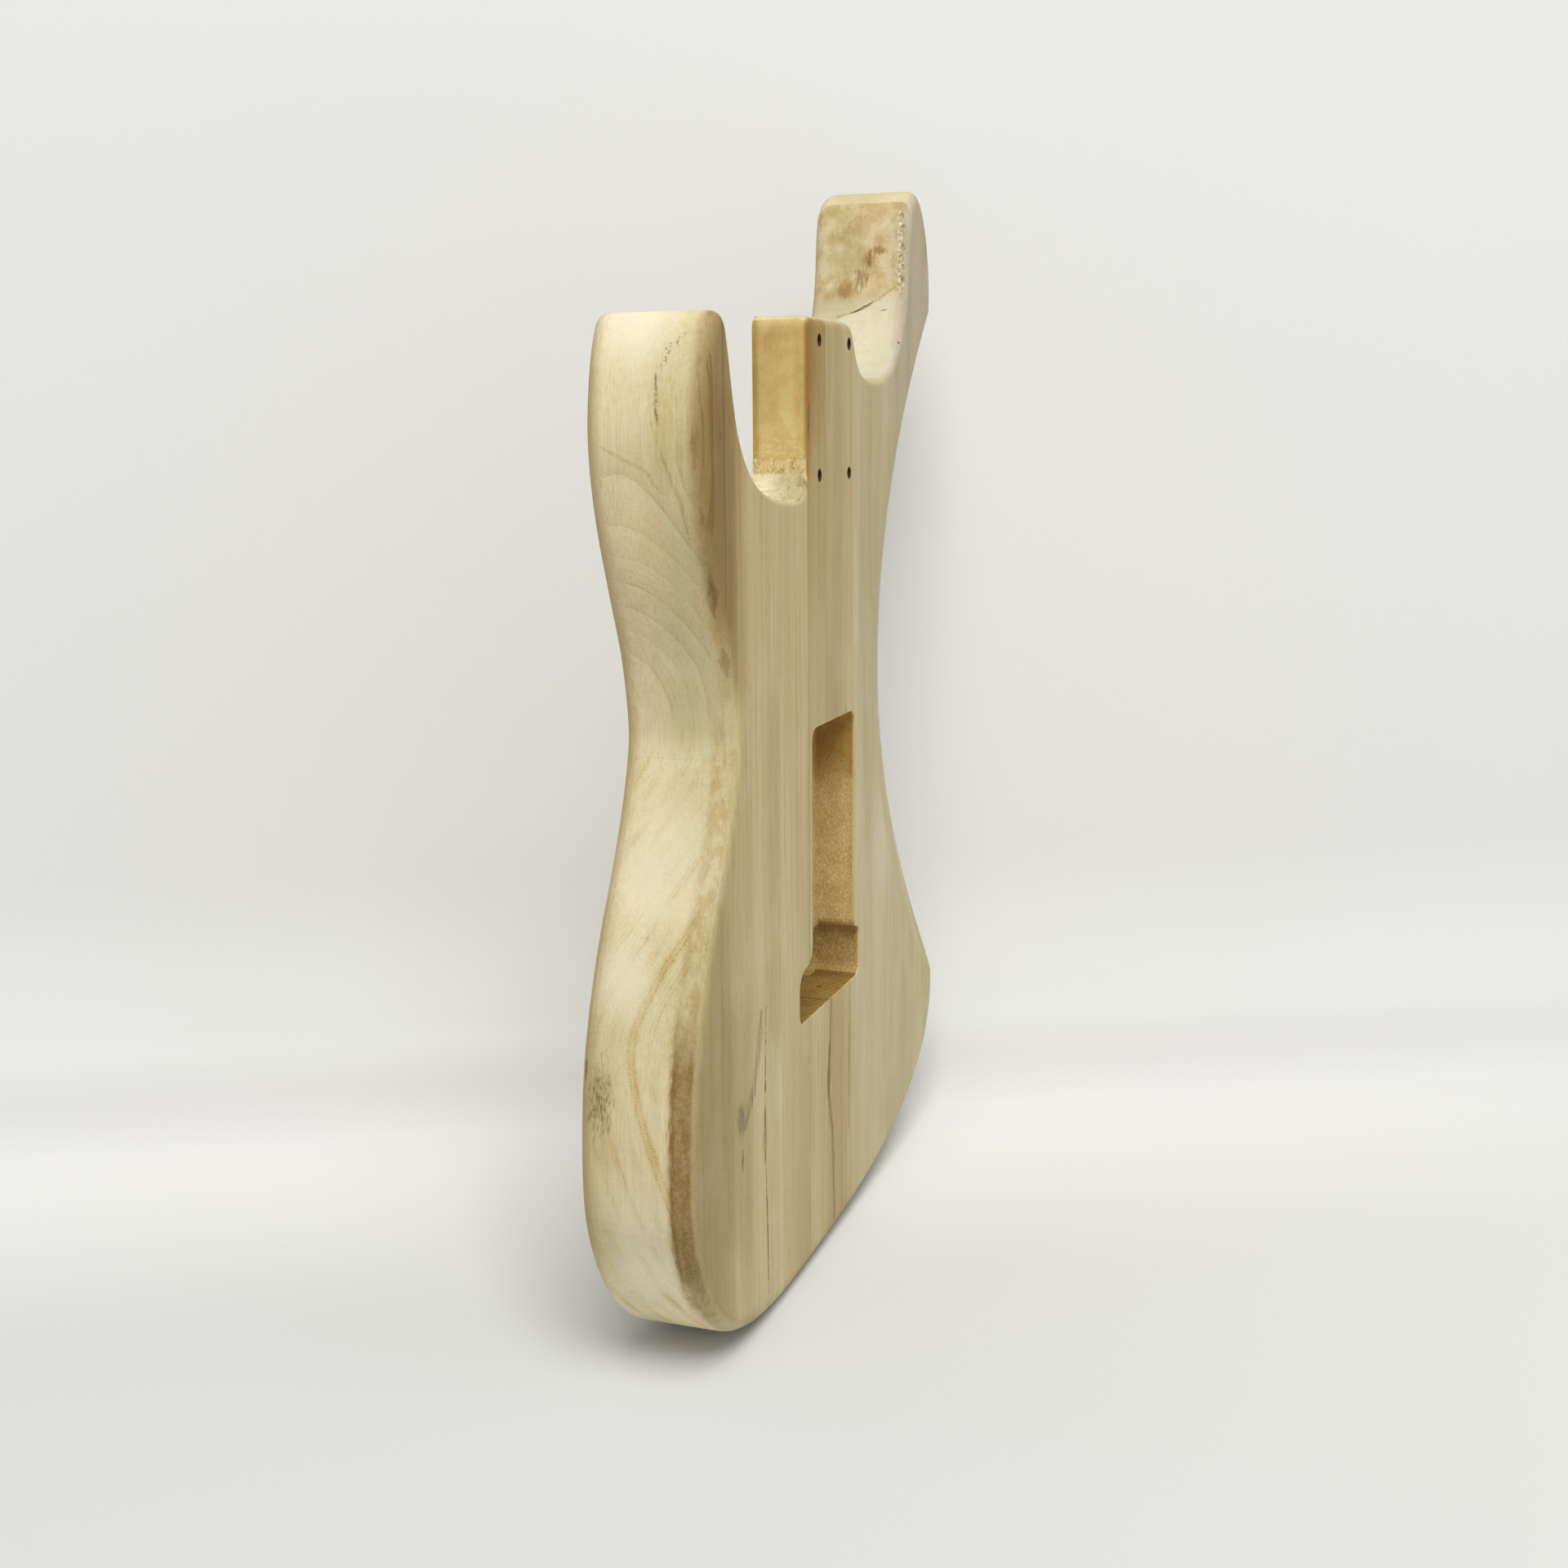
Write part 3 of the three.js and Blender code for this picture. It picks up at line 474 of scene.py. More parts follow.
def treble_edge(wood):
    """The brown rough rounding along the back of the treble edge and the darker wood beside it, with a
    painted highlight on a thin rim and painted shade on the front rounding.
    """
    outer = wood.step(wood.x, -98, -104)
    ragged = wood.scale_add(wood.broken, 2.6, wood.y)
    rounding = wood.all_of(outer, wood.past_back(10.6, 7.6, ragged),
                           wood.remap(wood.past_back(0.7, 2.5), 0.2))
    grit = wood.remap(wood.mottle(0.8, 50.0, detail=5.0, roughness=0.7), 0.4, 1.4)
    blotches = wood.remap(wood.step(wood.grain(0.3, 0.09, 53.0, detail=3.0), 0.38, 0.6), 0.35)
    lower = wood.all_of(wood.step(wood.z, 26, 56), wood.step(wood.z, 148, 120))
    wood.tint((0.87, 0.81, 0.71), 0.9, rounding, wood.band(wood.z, 24, 236, 8), grit, blotches)
    wood.tint((0.72, 0.65, 0.51), 1.0, rounding, lower, grit)
    wood.tint((0.86, 0.79, 0.68), 0.8, outer, lower, wood.line(ragged, BACK + 8.2, 1.5))
    turning = wood.all_of(outer, wood.past_back(12.5, 3.5, ragged))
    wood.tint((0.93, 0.88, 0.79), 0.8, turning, wood.band(wood.z, 244, 352, 8), grit)
    wood.lift(1.6, rounding, grit)
    # A thin lighter rim beside the brown rounding: painted highlight
    rim = wood.band(ragged, BACK + 10.8, BACK + 12.6, 0.8)
    wood.tint((1.03, 1.03, 1.045), 1.0, outer, rim, wood.band(wood.z, 30, 130, 14))
    # Darker front rounding of the treble edge: painted shade where it turns away from the light
    front = wood.step(ragged, FRONT - 9, FRONT - 2)
    wood.tint((0.88, 0.84, 0.76), 1.0, outer, front, wood.step(wood.z, 20, 40))

    streaky = wood.less(wood.grain(0.35, 0.006, 70.0, detail=4.0), 0.5)
    narrowing = wood.math("MULTIPLY", wood.step(wood.z, 258, 200), 10.0)
    place = wood.math("ADD", wood.scale_add(streaky, 14.0, wood.x), narrowing)
    upper = wood.step(wood.z, 225, 290)
    gentle = wood.scale_add(wood.broken, 1.4, wood.y)
    turned = wood.math("MAXIMUM", wood.on_back, wood.all_of(upper, wood.past_back(7.5, 1.5, gentle)))
    zone = wood.all_of(turned, wood.step(place, -104.5, -114))
    wood.tint((0.91, 0.9, 0.87), 1.0, zone)
    wood.tint((1.05, 1.06, 1.1), 1.0, wood.on_back, wood.step(wood.z, 120, 100), wood.step(wood.x, -106, -98))
    wood.tint((0.9, 0.87, 0.82), 1.0, zone, upper)
    wood.tint((0.94, 0.92, 0.89), 1.0, turned, upper, wood.step(place, -114, -124))
    wood.tint((0.86, 0.83, 0.8), 1.0, zone, wood.remap(upper, 0.35, 0.8), wood.step(streaky, 0.04, 0.14))


def horn_side_marks(wood):
    """Painted sheen on the horn's top, pale and brown patches, a crack and pits with painted shade in them,
    and two fine arcs on the treble horn's side.
    """
    # Cream on the horn's top: painted sheen where the light falls brightest
    wood.paint(CREAM, 0.75, wood.blob((-130, 6, 380), (34, 24, 34)))
    wood.tint((0.92, 0.87, 0.76), 0.7, wood.blob((-138, -8, 338), (9, 8, 26), 1.2))
    wood.tint((1.07, 1.05, 1.05), 1.0, wood.blob((-132, 2, 300), (24, 15, 34), 0.6))
    for places in ([(-123, -18.6, 275), (-128.6, -18.8, 291)], [(-114.4, -19.5, 254), (-117.6, -19.2, 264)]):
        wood.tint((0.8, 0.73, 0.64), 0.55, wood.trail(places, 2.8, 2.0))
    wood.tint((0.84, 0.72, 0.64), 0.55, wood.trail([(-138, -19, 342), (-139, -18.5, 325)], 2.6, 1.4))
    wood.paint(DARK, 0.5, wood.trail(back_places((-124.8, 341), (-125.2, 331)), 0.8, 1.4))
    # Dark paint in the cut crack and pits: painted shade
    crack = wood.trail([(-136.5, -4.3, 357), (-138.4, -4.8, 348), (-139.4, -6.2, 339)], 1.3, 2.4)
    wood.paint(DARK, 0.5, crack, wood.specks)
    pits = wood.trail([(-131.1, -13.4, 370), (-133.7, -7.7, 364), (-135.8, -5.6, 357)], 2.2, 2.4)
    wood.paint(DARK, 0.6, pits, wood.step(wood.mottle(1.1, 35.0), 0.56, 0.64))
    low_arc = [(-139.4, -3.6, 340), (-138.8, -8, 327), (-136.9, -12.6, 314), (-133.5, -14, 302)]
    wood.tint((0.84, 0.78, 0.68), 0.5, wood.trail(low_arc, 1.1, 1.8, 0.5))
    high_arc = [(-139.6, 16, 333), (-139.2, 8.2, 329), (-138.4, -0.9, 324.5), (-137.2, -5.2, 317.6)]
    wood.tint((0.82, 0.77, 0.66), 0.6, wood.trail(high_arc, 1.2, 2.0, 0.5), wood.remap(wood.specks, 0.3))


def bout_side_marks(wood):
    """Painted sheen where the treble bout's side faces up, painted light bounced from the floor on its lower
    part, and a hairy dark stain.
    """
    # Cream patches: painted sheen where the side faces up into the light
    wood.paint(CREAM, 0.5, wood.blob((-128, 2, 187), (28, 26, 42)))
    wood.paint(CREAM, 0.55, wood.blob((-146, 8, 153), (14, 15, 26)))
    # Cream patch and lightening below z 66: painted light bounced up from the floor
    wood.paint(CREAM, 0.45, wood.blob((-154, 0, 60), (20, 16, 40)))
    wood.tint((1.17, 1.19, 1.27), 1.0, wood.step(wood.z, 66, 36), wood.past_back(5, 8))
    hairs = wood.step(wood.grain(2.0, 0.42, 38.0, detail=4.0), 0.45, 0.6)
    stain = wood.blob((-156.3, 12.8, 112), (9, 7.6, 18), 1.4)
    wood.paint(STAIN, 0.62, stain, hairs)
    wood.tint((0.86, 0.83, 0.75), 0.7, stain)
    wood.paint(DARK, 0.75, wood.trail([(-152.6, 20.4, 128), (-154.2, 19.2, 117)], 1.7, 1.6))
    wood.tint((0.93, 0.88, 0.82), 0.6, wood.blob((-158.4, 10, 95), (6, 7, 12), 1.2))


def back_bout_marks(wood):
    """Streaks and small marks on the back of the treble bout."""
    dashes = wood.remap(wood.step(wood.grain(1.1, 0.12, 81.0, detail=3.0), 0.4, 0.56), 0.25)
    streak = wood.trail(back_places((-90, 126), (-94, 111), (-100, 98), (-108, 88)), 4.2, 1.6, 0.5)
    wood.paint(GREY, 0.7, streak, dashes)
    wood.paint(GREY, 0.8, wood.blob((-112, MARK_Y, 92), (7, 3, 9), 1.4), dashes)
    wood.paint(DARK, 0.55, wood.trail(back_places((-111, 80), (-111.6, 72)), 1.6, 1.4))


def treble_crack(wood):
    """Dark paint in the long crack cut into the treble outer plank, which is painted shade, and darker edges
    along it.
    """
    # Dark lines over the cut crack: painted shade in its gap
    wood.paint(DARK, 0.8, wood.trail(back_places((-85.1, 127), (-86.4, 100), (-87.3, 73.9)), 1.1, 0.7, 0.4))
    lower = back_places((-87.3, 78), (-85.3, 40.4)) + [(-83.9, -21.8, 5)]
    wood.paint(DARK, 0.75, wood.trail(lower, 0.9, 0.7, 0.4))
    wood.tint((0.8, 0.77, 0.7), 0.7, wood.trail(back_places((-87, 88), (-87.6, 66)), 4.0, 1.4))


def seam(x):
    def mark(wood):
        """A glue line that shows on the back."""
        wood.tint((0.78, 0.7, 0.6), 0.8, wood.on_back, wood.line(wood.x, x, 0.7))
    return mark


def treble_inner_marks(wood):
    """Two fine dark lines, and a darker strip beside the cavity."""
    for places in (back_places((-67.8, 308), (-68.5, 280), (-68.4, 250)),
                   back_places((-63, 228), (-63, 190), (-62, 150))):
        wood.tint((0.8, 0.77, 0.7), 0.7, wood.trail(places, 0.6, 0.9, 0.5))
    wood.tint((0.9, 0.86, 0.79), 0.8, wood.on_back, wood.band(wood.x, HEEL_FACE, -29, 1.2),
              wood.band(wood.z, 128, 225, 8))


def cutaway_fibres(wood):
    """Torn end grain in the treble cutaway: light broken fibres over a rough ground."""
    mask = wood.blob((-47, -8, 314), (19, 19, 7))
    rough = wood.mottle(0.95, 90.0, detail=5.0, roughness=0.75)
    wood.paint(CREAM, 0.75, mask)
    wood.tint((0.85, 0.8, 0.7), 0.75, mask, wood.step(rough, 0.52, 0.4))
    wood.lift(5.0, mask, rough)


def cutaway_floor(wood):
    """Lumps in the treble cutaway's floor, duller towards the back and the heel."""
    lumps = wood.mottle(0.28, 92.0, detail=4.0, roughness=0.6)
    low = wood.all_of(wood.blob((-36, -20, 315), (17, 15, 12)), wood.past_back(0.3, 1.2))
    flat = wood.blob((-40, -1, 315), (16, 12, 9))
    wood.paint(FLOOR_LIGHT, 0.6, flat)
    wood.tint((0.87, 0.86, 0.82), 1.0, low)
    wood.tint((0.85, 0.83, 0.77), 0.9, low, wood.step(lumps, 0.5, 0.6))
    wood.tint((0.82, 0.78, 0.66), 0.9, flat, wood.line(wood.grain(0.05, 0.4, 94.0), 0.5, 0.03))
    wood.lift(5.0, low, lumps)


def torn_foot(wood):
    """A pale band of torn end grain at the foot of the heel's treble face, full of small pits."""
    ragged_z = wood.scale_add(wood.broken, 4.0, wood.z)
    band = wood.all_of(wood.step(wood.x, HEEL_FACE + 1.2, HEEL_FACE + 0.6),
                       wood.band(ragged_z, 300, 326.6, 0.9), wood.past_back(0.4, 1.0))
    pits = wood.grain(0.7, 1.1, 93.0, detail=5.0, roughness=0.75)
    wood.paint(FOOT_LIGHT, 0.85, band)
    wood.paint(FOOT_PIT, 0.8, band, wood.step(pits, 0.56, 0.64))
    wood.paint(CREAM, 0.7, band, wood.step(pits, 0.42, 0.34))
    wood.lift(-6.0, band, pits)


def strip_marks(wood):
    """The heel strip: browner towards the heel, with a golden treble face."""
    wood.tint((0.965, 0.935, 0.9), 1.0, wood.on_back, wood.step(wood.z, 246, 300))
    wood.tint((0.9, 0.85, 0.76), 1.0, wood.on_back, wood.step(wood.z, 300, 368))
    wood.tint((0.95, 0.92, 0.87), 1.0, wood.on_back, wood.step(wood.x, -20, -28), wood.step(wood.z, 320, 362))
    face = wood.all_of(wood.step(wood.x, HEEL_FACE + 1.5, HEEL_FACE + 0.9), wood.band(wood.z, 316, 400, 2),
                       wood.past_back(0.2, 0.8))
    scratches = wood.grain(0.25, 1.3, 73.0, detail=4.0, roughness=0.7)
    clouded = wood.mottle(0.14, 77.0, detail=4.0, roughness=0.6)
    wood.paint(GOLD, 0.85, face)
    wood.tint((0.96, 0.965, 0.96), 1.0, face)
    wood.tint((0.93, 0.9, 0.84), 0.6, face, wood.step(clouded, 0.4, 0.62))
    wood.tint((1.07, 1.08, 1.12), 0.35, face, wood.step(scratches, 0.5, 0.66))
    wood.tint((1.08, 1.1, 1.16), 0.8, face, wood.step(wood.z, 342, 324), wood.step(scratches, 0.46, 0.6))
    wood.tint((1.04, 1.07, 1.12), 1.0, face, wood.step(wood.z, 352, 338))
    wood.tint((1.06, 1.08, 1.16), 0.6, face, wood.step(wood.z, 372, 376))
    wood.tint((0.88, 0.82, 0.7), 1.0, face, wood.step(wood.y, -3.4, -1.4))
    wood.tint((0.9, 0.85, 0.74), 0.5, face, wood.blob((HEEL_FACE, -7, 370), (3, 6, 6), 1.4))
    wood.tint((1.04, 1.07, 1.12), 0.8, face, wood.blob((HEEL_FACE, -14, 350), (3, 6, 34), 0.8))
    wood.tint((0.94, 0.87, 0.74), 0.8, wood.line(wood.x, HEEL_FACE + 1.5, 5), wood.on_back,
              wood.band(wood.z, 320, 380, 12))
    wood.tint((0.82, 0.75, 0.62), 0.8, wood.line(wood.x, HEEL_FACE + 1.0, 1.5), wood.past_back(2.2, 1.2),
              wood.band(wood.z, 318, 384, 4))
    # Dark line over the open glue line's cut: painted shade
    wood.paint(DARK, 0.85, wood.trail(back_places((-31.5, 347), (-31.6, 333)), 0.8, 1.0))


def centre_marks(wood):
    """The centre plank: pinkish brown, with wavy dark lines below the slot."""
    wood.tint((0.95, 0.93, 0.91), 1.0, wood.on_back, wood.step(wood.x, 21, 9))
    wood.paint(BROWN, 0.6, wood.trail([(14.6, MARK_Y, 226), (15.6, -22, 222.6)], 1.0, 0.8))
    wavy = back_places((-5.6, 107), (-7.2, 90), (-9.6, 76), (-8.4, 62), (-4.6, 50), (-3.6, 36), (-2.4, 8))
    wood.tint((0.79, 0.74, 0.67), 0.85, wood.trail(wavy, 2.4, 1.8, 0.5))
    wood.tint((0.82, 0.77, 0.7), 0.8, wood.trail(back_places((-8.4, 88), (-9.6, 64)), 4.4, 1.8))
    straight = back_places((19.6, 107), (18.6, 74), (18.1, 42))
    wood.tint((0.8, 0.77, 0.7), 0.8, wood.trail(straight, 1.6, 1.4, 0.5))
    wood.tint((0.975, 0.955, 0.94), 1.0, wood.on_back, wood.step(wood.z, 112, 96),
              wood.band(wood.x, -9, 13, 5))
    wood.paint(DARK, 0.75, wood.line(wood.x, -7.5, 0.9), wood.band(wood.y, BACK + 0.4, -8.5, 0.6),
               wood.band(wood.z, 105.5, 107.2))


def bass_plank_marks(wood):
    """Cooler on the back, with a pale patch."""
    wood.tint((1.0, 1.02, 1.08), 1.0, wood.on_back)
    wood.paint(CREAM, 0.5, wood.on_back, wood.blob((68, -22, 160), (20, 8, 46), 0.8))


def cavity_wall(wood):
    """The cavity's bass wall is a warmer brown near its lip."""
    wood.tint((0.94, 0.86, 0.7), 0.5, wood.line(wood.y, BACK + 1.6, 2.6), wood.step(wood.x, 27.6, 26.9),
              wood.band(wood.z, 128, 224, 2))


def bass_horn_face(wood):
    """The inner face of the bass horn: tan above with a knot, pale cream below that is partly painted sheen,
    and a crack with painted shade in it.
    """
    face = wood.past_back(0.6, 3.0)
    tan = wood.all_of(face, wood.step(wood.z, 390, 396))
    patches = wood.mottle(0.11, 95.0, detail=4.0)
    wood.tint((0.955, 0.93, 0.89), 1.0, tan)
    wood.paint(CREAM, 0.3, tan, wood.step(patches, 0.5, 0.62))
    wood.tint((0.9, 0.86, 0.79), 0.7, tan, wood.step(patches, 0.5, 0.38))
    flecks = wood.step(wood.mottle(1.0, 97.0, detail=4.0, roughness=0.7), 0.56, 0.66)
    wood.tint((0.88, 0.82, 0.74), 0.5, tan, flecks)
    # Pale cream below the tan: the wood's own pale tone, with painted sheen where the light falls
    pale = wood.all_of(face, wood.step(wood.z, 397, 391), wood.step(wood.z, 325, 350),
                       wood.step(wood.x, 60, 66), wood.step(wood.y, FRONT, FRONT - 4))
    wood.paint(CREAM, 0.5, pale)
    wood.tint((0.955, 0.97, 0.99), 1.0, pale)
    wood.tint((0.96, 0.95, 0.92), 0.6, pale, wood.step(patches, 0.52, 0.4))
    between = wood.scale_add(wood.y, 0.55, wood.scale_add(wood.broken, 3.0, wood.z))
    wood.tint((0.93, 0.91, 0.86), 1.0, face, wood.step(between, 388.4, 390.6), wood.step(wood.z, 400, 394))
    for centre, radii in (((105.4, -1.2, 403), (5, 4.5, 6.5)), ((105.8, -4.2, 410.5), (4, 3.6, 5)),
                          ((106.2, -8.5, 414.5), (4, 5, 2.4))):
        wood.tint((0.76, 0.67, 0.54), 0.9, wood.blob(centre, radii, 1.8))
        wood.tint((0.62, 0.54, 0.44), 0.9, wood.blob(centre, radii, 0.8), flecks)
    wood.tint((0.86, 0.75, 0.65), 0.7, wood.blob((104, 6, 398), (6, 7, 5), 1.8))
    # Dark line over the cut crack: painted shade
    wood.paint(DARK, 0.9, wood.trail([(101.2, 3, 387.6), (102.2, -2, 389.5), (103.2, -7, 392.4)], 0.8))
    hair = wood.trail([(100.6, 9, 386), (102.6, -4, 390), (104.7, -17.1, 398.8)], 1.2, 1.8, 0.5)
    wood.tint((0.74, 0.66, 0.54), 0.7, hair, wood.remap(wood.specks, 0.3))
    edge = wood.trail([(108.6, -17.6, 432), (107.2, -18.6, 412), (105, -19.2, 396), (100, -19.6, 384),
                       (93, -19.6, 372)], 3.0, 2.0, 0.7)
    chips = wood.step(wood.mottle(0.8, 96.0, detail=5.0, roughness=0.7), 0.46, 0.56)
    wood.tint((0.95, 0.9, 0.88), 0.7, edge)
    wood.paint(CHIPPED, 0.65, edge, chips, wood.step(wood.z, 392, 400))
    wood.paint(DARK, 0.9, wood.blob((94.8, -21.3, 374.2), (0.9, 0.9, 0.9), 0.2))


def bass_horn_back(wood):
    """A pinkish grey cast on the bass horn's back."""
    wood.tint((0.965, 0.965, 1.06), 1.0, wood.step(wood.z, 330, 380), wood.past_back(4.5, 1.5))


def bass_wing_marks(wood):
    """Cooler on the back, and a little paler on the bout's side."""
    wood.tint((1.0, 1.02, 1.05), 1.0, wood.on_back)
    wood.paint(CREAM, 0.25, wood.past_back(0, 16), wood.band(wood.z, 60, 230, 30))


def build_materials():
    """Each plank's wood: its name, seed, heart of the rings, strength of the stripes, and marks."""
    treble = [treble_edge, side_arcs]
    routes = [back_cavities, front_routes]
    bout_marks = treble + [bout_side_marks, back_bout_marks]
    outer_marks = treble + [back_bout_marks, treble_crack, front_routes]
    inner_marks = [treble_inner_marks] + routes + [seam(HEEL_FACE), cutaway_fibres, cutaway_floor]
    heel_marks = [strip_marks] + routes + [
        neck_pocket, seam(HEEL_FACE), seam(STRIP_SEAM), neck_holes, torn_foot]
    middle_marks = [centre_marks] + routes + [neck_pocket, neck_holes]
    wall_marks = [bass_plank_marks] + routes + [neck_pocket, cavity_wall]
    face_marks = [bass_plank_marks, bass_horn_face, bass_horn_back]
    rows = (
        ("treble_horn_wing", "treble_horn_wood", 1, (-60, 110), 0.5, treble + [horn_side_marks]),
        ("treble_bout_wing", "treble_bout_wood", 1, (-60, 110), 0.5, bout_marks),
        ("treble_outer_plank", "treble_outer_wood", 1, (-60, 110), 0.5, outer_marks),
        ("treble_inner_plank", "treble_inner_wood", 4, (-200, 40), 0.45, inner_marks),
        ("heel_strip", "heel_strip_wood", 5, (-90, 30), 0.5, heel_marks),
        ("heel_strip_tail", "heel_strip_tail_wood", 5, (-90, 30), 0.8, [back_cavities]),
        ("centre_plank", "centre_wood", 6, (140, 30), 0.25, middle_marks),
        ("centre_plank_tail", "centre_tail_wood", 6, (140, 30), 0.8, [back_cavities, centre_marks]),
        ("bass_inner_plank", "bass_inner_wood", 7, (-80, 60), 0.3, wall_marks),
        ("bass_outer_plank", "bass_outer_wood", 8, (-30, 40), 0.25, face_marks),
        ("bass_horn_wing", "bass_horn_wood", 9, (20, 25), 0.25, [bass_wing_marks, bass_horn_back]),
        ("bass_bout_wing", "bass_bout_wood", 10, (20, 25), 0.4, [bass_wing_marks]),
    )
    return {plank: plank_wood(*settings) for plank, *settings in rows}


# Creases kept where faces meet at more than this angle in radians, and the distance in metres within which a
# plank's vertices merge
CREASE_ANGLE = 0.6
MERGE_METRES = 1e-7

# Blades that cut the cracks: a step's length, and how far they stand out
BLADE_STEP = 1.6
BLADE_PROUD = 0.8

# Torn fibres: name, plank and slot; how many and in which box; length, girth and rise
FIBRE_SETS = (
    ("heel_foot_fibres", "heel_strip", "wood_heel_strip",
     300, (HEEL_FACE, -20.5, 320.8), (HEEL_FACE, 0, 326.5), (1.3, 0.22, 0.5)),
    ("cutaway_floor_fibres", "treble_inner_plank", "wood_treble_plank",
     320, (-62, -20, 309), (-34.5, 16, 314), (1.5, 0.25, 0.5)),
    ("cavity_wall_fibres", "bass_inner_plank", "wood_bass_plank",
     520, (26.5, -20.5, 131), (26.5, -6.5, 204), (0.9, 0.13, 0.3)),
    ("slot_wall_fibres", "bass_inner_plank", "wood_bass_plank",
     90, (33.4, -20.5, 109), (33.4, -2, 124), (0.9, 0.15, 0.35)),
)
SLIVER_FACES = ((0, 1, 2), (0, 3, 1), (1, 3, 2), (2, 3, 0))
FIBRE_ROOT = 0.15
FIBRE_SEED = 7


def add_object(name, data):
    piece = bpy.data.objects.new(name, data)
    bpy.context.scene.collection.objects.link(piece)
    return piece


def add_mesh(name, vertices, faces):
    mesh = bpy.data.meshes.new(name)
    mesh.from_pydata(vertices, [], faces)
    return add_object(name, mesh)


def mark_creases(mesh):
    """Keeps a crease where two faces meet at more than the crease angle."""
    normals = [polygon.normal.copy() for polygon in mesh.polygons]
    faces = {}
    for polygon in mesh.polygons:
        for key in polygon.edge_keys:
            faces.setdefault(key, []).append(polygon.index)
    for edge in mesh.edges:
        around = faces.get(edge.key, [])
        sharp = len(around) != 2 or normals[around[0]].angle(normals[around[1]], 0) > CREASE_ANGLE
        edge.use_edge_sharp = sharp


def dress(piece, material):
    """Gives a piece its material, smooth within its creases."""
    piece.data.materials.clear()
    piece.data.materials.append(material)
    piece.data.shade_smooth()
    mark_creases(piece.data)
    smooth = piece.modifiers.new("weighted_normals", "WEIGHTED_NORMAL")
    smooth.mode = "FACE_AREA"
    smooth.keep_sharp = True


def surface_of(name):
    """A plank's surface, to look up the nearest place on it."""
    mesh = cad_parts[name].data
    return BVHTree.FromPolygons([vertex.co for vertex in mesh.vertices],
                                [polygon.vertices for polygon in mesh.polygons])


def blade(plank, places, width, depth, draw):
    """A jagged wedge along places on a plank's surface, given in millimetres."""
    places = [Vector(place) * MM for place in places]
    spots = []
    for start, end in zip(places, places[1:]):
        count = max(1, round((end - start).length / (BLADE_STEP * MM)))
        spots += [start.lerp(end, index / count) for index in range(count)]
    spots.append(places[-1])
    vertices = []
    for index, spot in enumerate(spots):
        surface, normal = plank.find_nearest(spot)[:2]
        ahead = spots[min(index + 1, len(spots) - 1)] - spots[max(index - 1, 0)]
        across = normal.cross(ahead).normalized()
        swell = 0.25 + 0.75 * math.sin(math.pi * index / (len(spots) - 1)) ** 0.5
        half = width * MM / 2 * swell * draw.uniform(0.6, 1.4)
        deep = depth * MM * swell * draw.uniform(0.8, 1.2)
        middle = surface + across * draw.uniform(-0.3, 0.3) * width * MM
        top = middle + normal * BLADE_PROUD * MM
        spread = half * (1 + BLADE_PROUD * MM / deep)
        vertices += [top + across * spread, top - across * spread, middle - normal * deep]
    faces = [(0, 1, 2), (3 * len(spots) - 1, 3 * len(spots) - 2, 3 * len(spots) - 3)]
    for index in range(len(spots) - 1):
        a, b = 3 * index, 3 * index + 3
        for side in range(3):
            other = (side + 1) % 3
            faces.append((a + other, a + side, b + side, b + other))
    return add_mesh("cutter", vertices, faces)


def chip(plank, place, size, draw):
    """A small scallop broken out of an edge."""
    surface = plank.find_nearest(Vector(place) * MM)[0]
    shape = bmesh.new()
    bmesh.ops.create_icosphere(shape, subdivisions=2, radius=1.0)
    for vertex in shape.verts:
        vertex.co *= draw.uniform(0.86, 1.14)
        reach = Vector((vertex.co.x * size[0], vertex.co.y * size[1], vertex.co.z * size[2]))
        vertex.co = surface + reach * MM
    mesh = bpy.data.meshes.new("cutter")
    shape.to_mesh(mesh)
    shape.free()
    return add_object("cutter", mesh)


def face_outward(piece):
    """Turns a closed piece's faces outwards."""
    shape = bmesh.new()
    shape.from_mesh(piece.data)
    bmesh.ops.recalc_face_normals(shape, faces=shape.faces)
    shape.to_mesh(piece.data)
    shape.free()


def cut_plank(name, cutters, material):
    """A copy of a plank with its cracks cut into the mesh, which stands for the plank."""
    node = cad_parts[name]
    piece = add_object(name + "_wood", node.data.copy())
    shape = bmesh.new()
    shape.from_mesh(piece.data)
    bmesh.ops.remove_doubles(shape, verts=shape.verts, dist=MERGE_METRES)
    shape.to_mesh(piece.data)
    shape.free()
    for cutter in cutters:
        face_outward(cutter)
        boolean = piece.modifiers.new("cut", "BOOLEAN")
        boolean.operation = "DIFFERENCE"
        boolean.solver = "MANIFOLD"
        boolean.object = cutter
    graph = bpy.context.evaluated_depsgraph_get()
    whole = piece.data
    piece.data = bpy.data.meshes.new_from_object(piece.evaluated_get(graph))
    piece.modifiers.clear()
    bpy.data.meshes.remove(whole)
    for cutter in cutters:
        bpy.data.objects.remove(cutter)
    dress(piece, material)
    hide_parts(name)
    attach(piece, "root")


